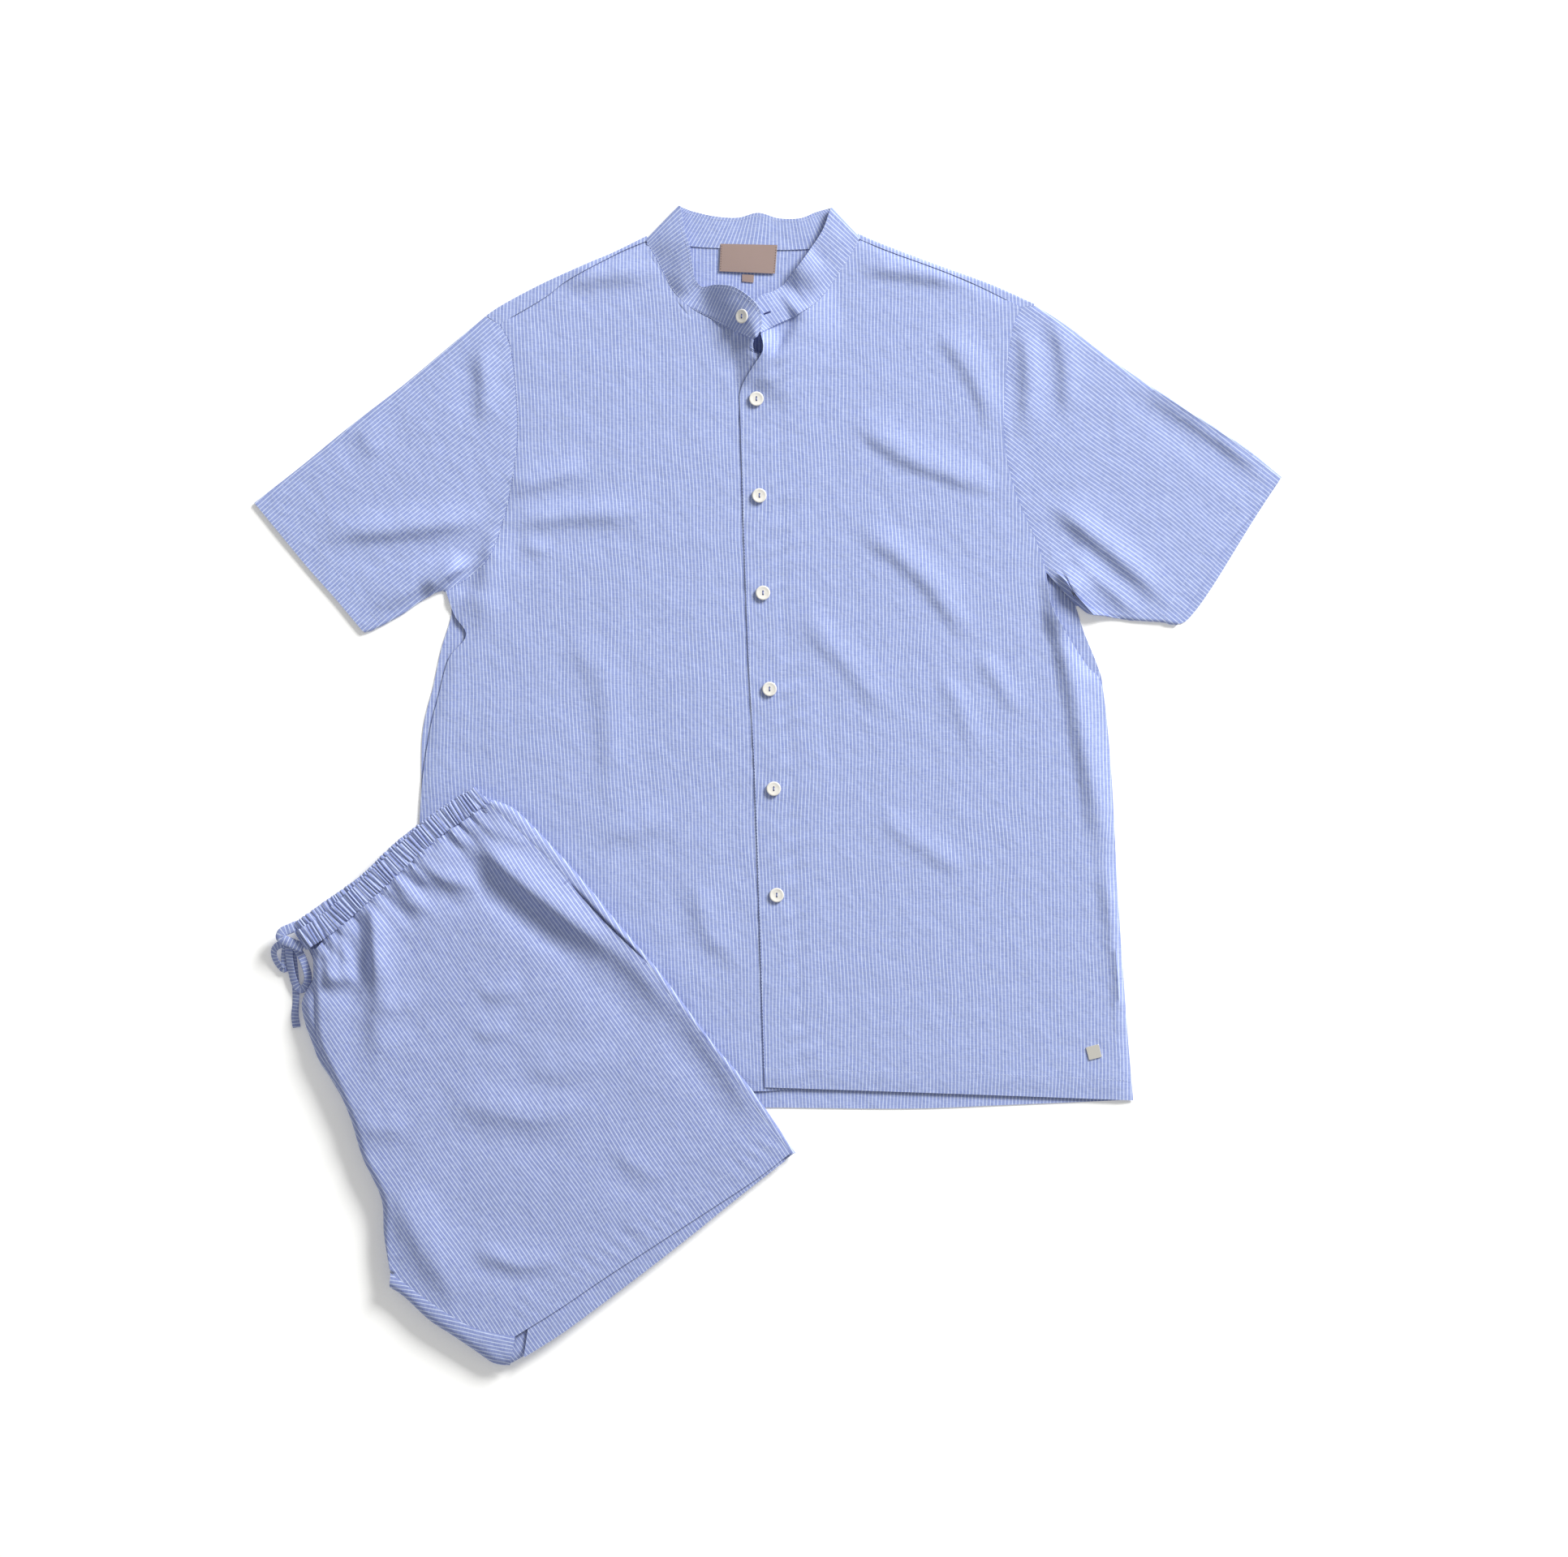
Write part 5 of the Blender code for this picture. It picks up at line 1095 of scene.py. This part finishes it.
# Far leg: the hidden layers of the folded shorts, of the same cloth. They are seen only at the
# edges, as two soft folds one above the other. The edge is given from the bottom up, as the share of
# the height and how far in it lies.
FAR_EDGE = [(0.0, 3.2), (0.06, 1.6), (0.16, 0.7), (0.28, 0.5), (0.38, 1.2), (0.44, 2.4), (0.5, 1.2),
            (0.58, 0.7), (0.7, 1.5), (0.82, 3.4), (0.93, 5.6), (1.0, 8.0)]
top = shorts_line("far band", 60)
left = np.vstack([top[:1], shorts_line("far rise", 60), shorts_line("inseam fold", 26)])
right = np.vstack([top[-1:], shorts_line("side fold", len(left) - 1)])
grid = patch(top, shorts_line("back hem", 60), left, right)
loop = np.vstack([grid[0], grid[1:-1, -1], grid[-1][::-1], grid[-2:0:-1, 0]])
along = np.roll(loop, -1, axis=0) - np.roll(loop, 1, axis=0)
along /= np.linalg.norm(along, axis=1)[:, None]
inward = np.stack([along[:, 1], -along[:, 0]], axis=1)


def far_top(x, y):
    """Under the near leg, and lower still under the waistband."""
    above_seam = (x - WAIST_X) * -0.63 + (y - WAIST_Y) * 0.78
    return shorts_slope(x, y) - 3.8 + 0.5 * ridges(SHORTS_FOLDS, x, y) - 3.4 * ease(-6, 6, above_seam)


def far_bottom(x, y):
    return shorts_floor(x, y) + 0.3


low, high = far_bottom(loop[:, 0], loop[:, 1]), far_top(loop[:, 0], loop[:, 1])
rings = []
for share, inset in FAR_EDGE:
    ring = np.column_stack([loop + inward * inset, low + share * (high - low)])
    rings.append(np.vstack([ring, ring[:1]]))
far_grids = [np.array(rings)]
for rim, height in ((rings[-1], far_top), (rings[0], far_bottom)):
    centre = rim[:-1, :2].mean(0)
    rows = []
    for share in np.linspace(0, 1, 14):
        spot = rim[:, :2] * (1 - share) + centre * share
        blend = ease(0, 0.12, share)
        rows.append(np.column_stack([spot, rim[:, 2] * (1 - blend) + height(spot[:, 0], spot[:, 1]) * blend]))
    far_grids.append(np.array(rows))
far_grids = [(points, lying(points, 35)) for points in far_grids]
far_leg = cloth("shorts_far_leg", far_grids, SHADED_SHORTS_COTTON, thickness=0)
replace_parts(far_leg, "shorts_far_leg")

# Waistband: a casing of the same cloth gathered on elastic, its front half lying on its back half.
# Each gather stands up across the band and runs out into the leg as a small pleat.
AROUND = 29
PER_GATHER = 11
END_CURL = (3.2, 0.4)  # how far the near and the far end turn down


def band(name, path_name, gathers, width, thickness, drop, depth, seed):
    """Half of the waistband: a flat tube along its line, pushed up into uneven, slanting gathers."""
    stations = PER_GATHER * gathers + 1
    path = shorts_line(path_name, stations)
    out = np.gradient(path, axis=0)
    out /= np.linalg.norm(out, axis=1)[:, None]
    out = np.stack([-out[:, 1], out[:, 0]], axis=1)
    index = np.arange(stations)
    place = index / PER_GATHER + 0.22 * np.sin(index * 0.13 + seed) + 0.12 * np.sin(index * 0.31 + 2 * seed)
    uneven = 0.8 + 0.3 * np.sin(index * 0.11 + seed) + 0.2 * np.sin(index * 0.047 + 1)
    slant = 0.45 * np.sin(index * 0.052 + 2 * seed) + 0.2
    z = shorts_slope(path[:, 0], path[:, 1]) + 0.35 * ridges(SHORTS_FOLDS, path[:, 0], path[:, 1]) - drop
    for curl, from_end in zip(END_CURL, (index, index[::-1])):
        z = z - curl * (1 - ease(0, 16, from_end))
    rings = []
    for a in np.linspace(0, 2 * math.pi, AROUND):
        across = math.copysign(abs(math.cos(a)) ** 0.55, math.cos(a))
        wave = np.abs(np.sin(math.pi * (place + slant * across * 0.5))) ** 0.75 * 2 - 1.2
        fine = np.cos(2 * math.pi * (2.0 * place + 0.3 * across)) * (across < -0.55)
        lift = (depth * uneven * wave * 0.5 + 0.2 * fine) * max(0.0, math.sin(a)) ** 0.4
        edge = 0.45 * wave * uneven * abs(across) ** 4
        spot = path + out * (across * (width / 2 + edge) - 0.25)[:, None]
        rings.append(np.column_stack([spot, z + math.sin(a) * thickness / 2 + lift]))
    rings = np.array(rings).transpose(1, 0, 2)
    ends = [np.repeat(ring[:-1].mean(0)[None], AROUND, axis=0) for ring in (rings[0], rings[-1])]
    rings = np.concatenate([[ends[0]], rings, [ends[1]]])
    travelled = np.r_[0, np.cumsum(np.linalg.norm(np.diff(rings[:, 7], axis=0), axis=1))]
    places = np.zeros(rings.shape[:2] + (2,))
    places[..., 0] = travelled[:, None] * 1.05
    places[..., 1] = np.linspace(0, 2 * width, AROUND)[None, :]
    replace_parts(cloth(name, [(rings, places)], SHADED_SHORTS_COTTON, thickness=0), name)


band("waistband_front", "front band", 56, 17.8, 3.6, 0.0, 2.3, 0.7)
band("waistband_back", "back band", 50, 17.2, 3.2, 4.6, 1.9, 2.9)

# Drawstring: a flat strip of the same cloth, 6.8 mm wide, that runs through the waistband and is
# tied in a bow at its near end. Two loops and one tail come out of the knot and lie on the table.
STRIP_WIDTH = 6.8
KNOT = [(-393, -117.5, 12.4, 0), (-398, -120, 13.8, 0), (-405.5, -123.5, 14.2, 10), (-406.5, -128.5, 14.6, 5),
        (-399, -132, 15.2, 0), (-388, -136.5, 14.8, -10)]
LEFT_LOOP = [(-400, -133, 12.0, 5), (-407, -133.5, 11.0, 15), (-412.5, -137.5, 8.0, 35),
             (-413, -144, 5.6, 45), (-409.5, -150.5, 4.6, 40), (-404.5, -154.5, 4.6, 20),
             (-404, -148.5, 5.6, 15), (-403.5, -141, 8.0, 10), (-402, -134, 11.5, 5)]
RIGHT_LOOP = [(-394, -136, 12.6, -5), (-389.5, -144, 11.6, -15), (-386.5, -152, 10.4, -18),
              (-384.5, -160.5, 9.4, -20), (-386, -168, 7.4, -10), (-391, -171.5, 5.0, -5),
              (-395.8, -166, 4.6, -20), (-398.5, -156, 6.0, -28), (-400.0, -146, 9.0, -20),
              (-400.2, -136, 12.4, -5)]
TAIL = [(-398, -139, 9.0, 5), (-397, -148, 6.2, 10), (-396, -160, 3.6, 15), (-395.2, -171, 2.0, 20),
        (-395.4, -183, 1.6, 35), (-396, -194, 1.4, 20), (-394.6, -203.5, 1.2, 5)]

knot, _ = strip("drawstring_knot", KNOT, 8.4, 3.6, 36, SHADED_SHORTS_COTTON)
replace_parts(knot, "drawstring_knot")
for stretch, route, far_end in (("left_loop", LEFT_LOOP, "object"), ("right_loop", RIGHT_LOOP, "object"),
                                ("tail", TAIL, "bare")):
    piece, path = strip(f"drawstring_{stretch}", route, STRIP_WIDTH, 1.3, 48, SHADED_SHORTS_COTTON)
    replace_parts(piece, f"drawstring_{stretch}")
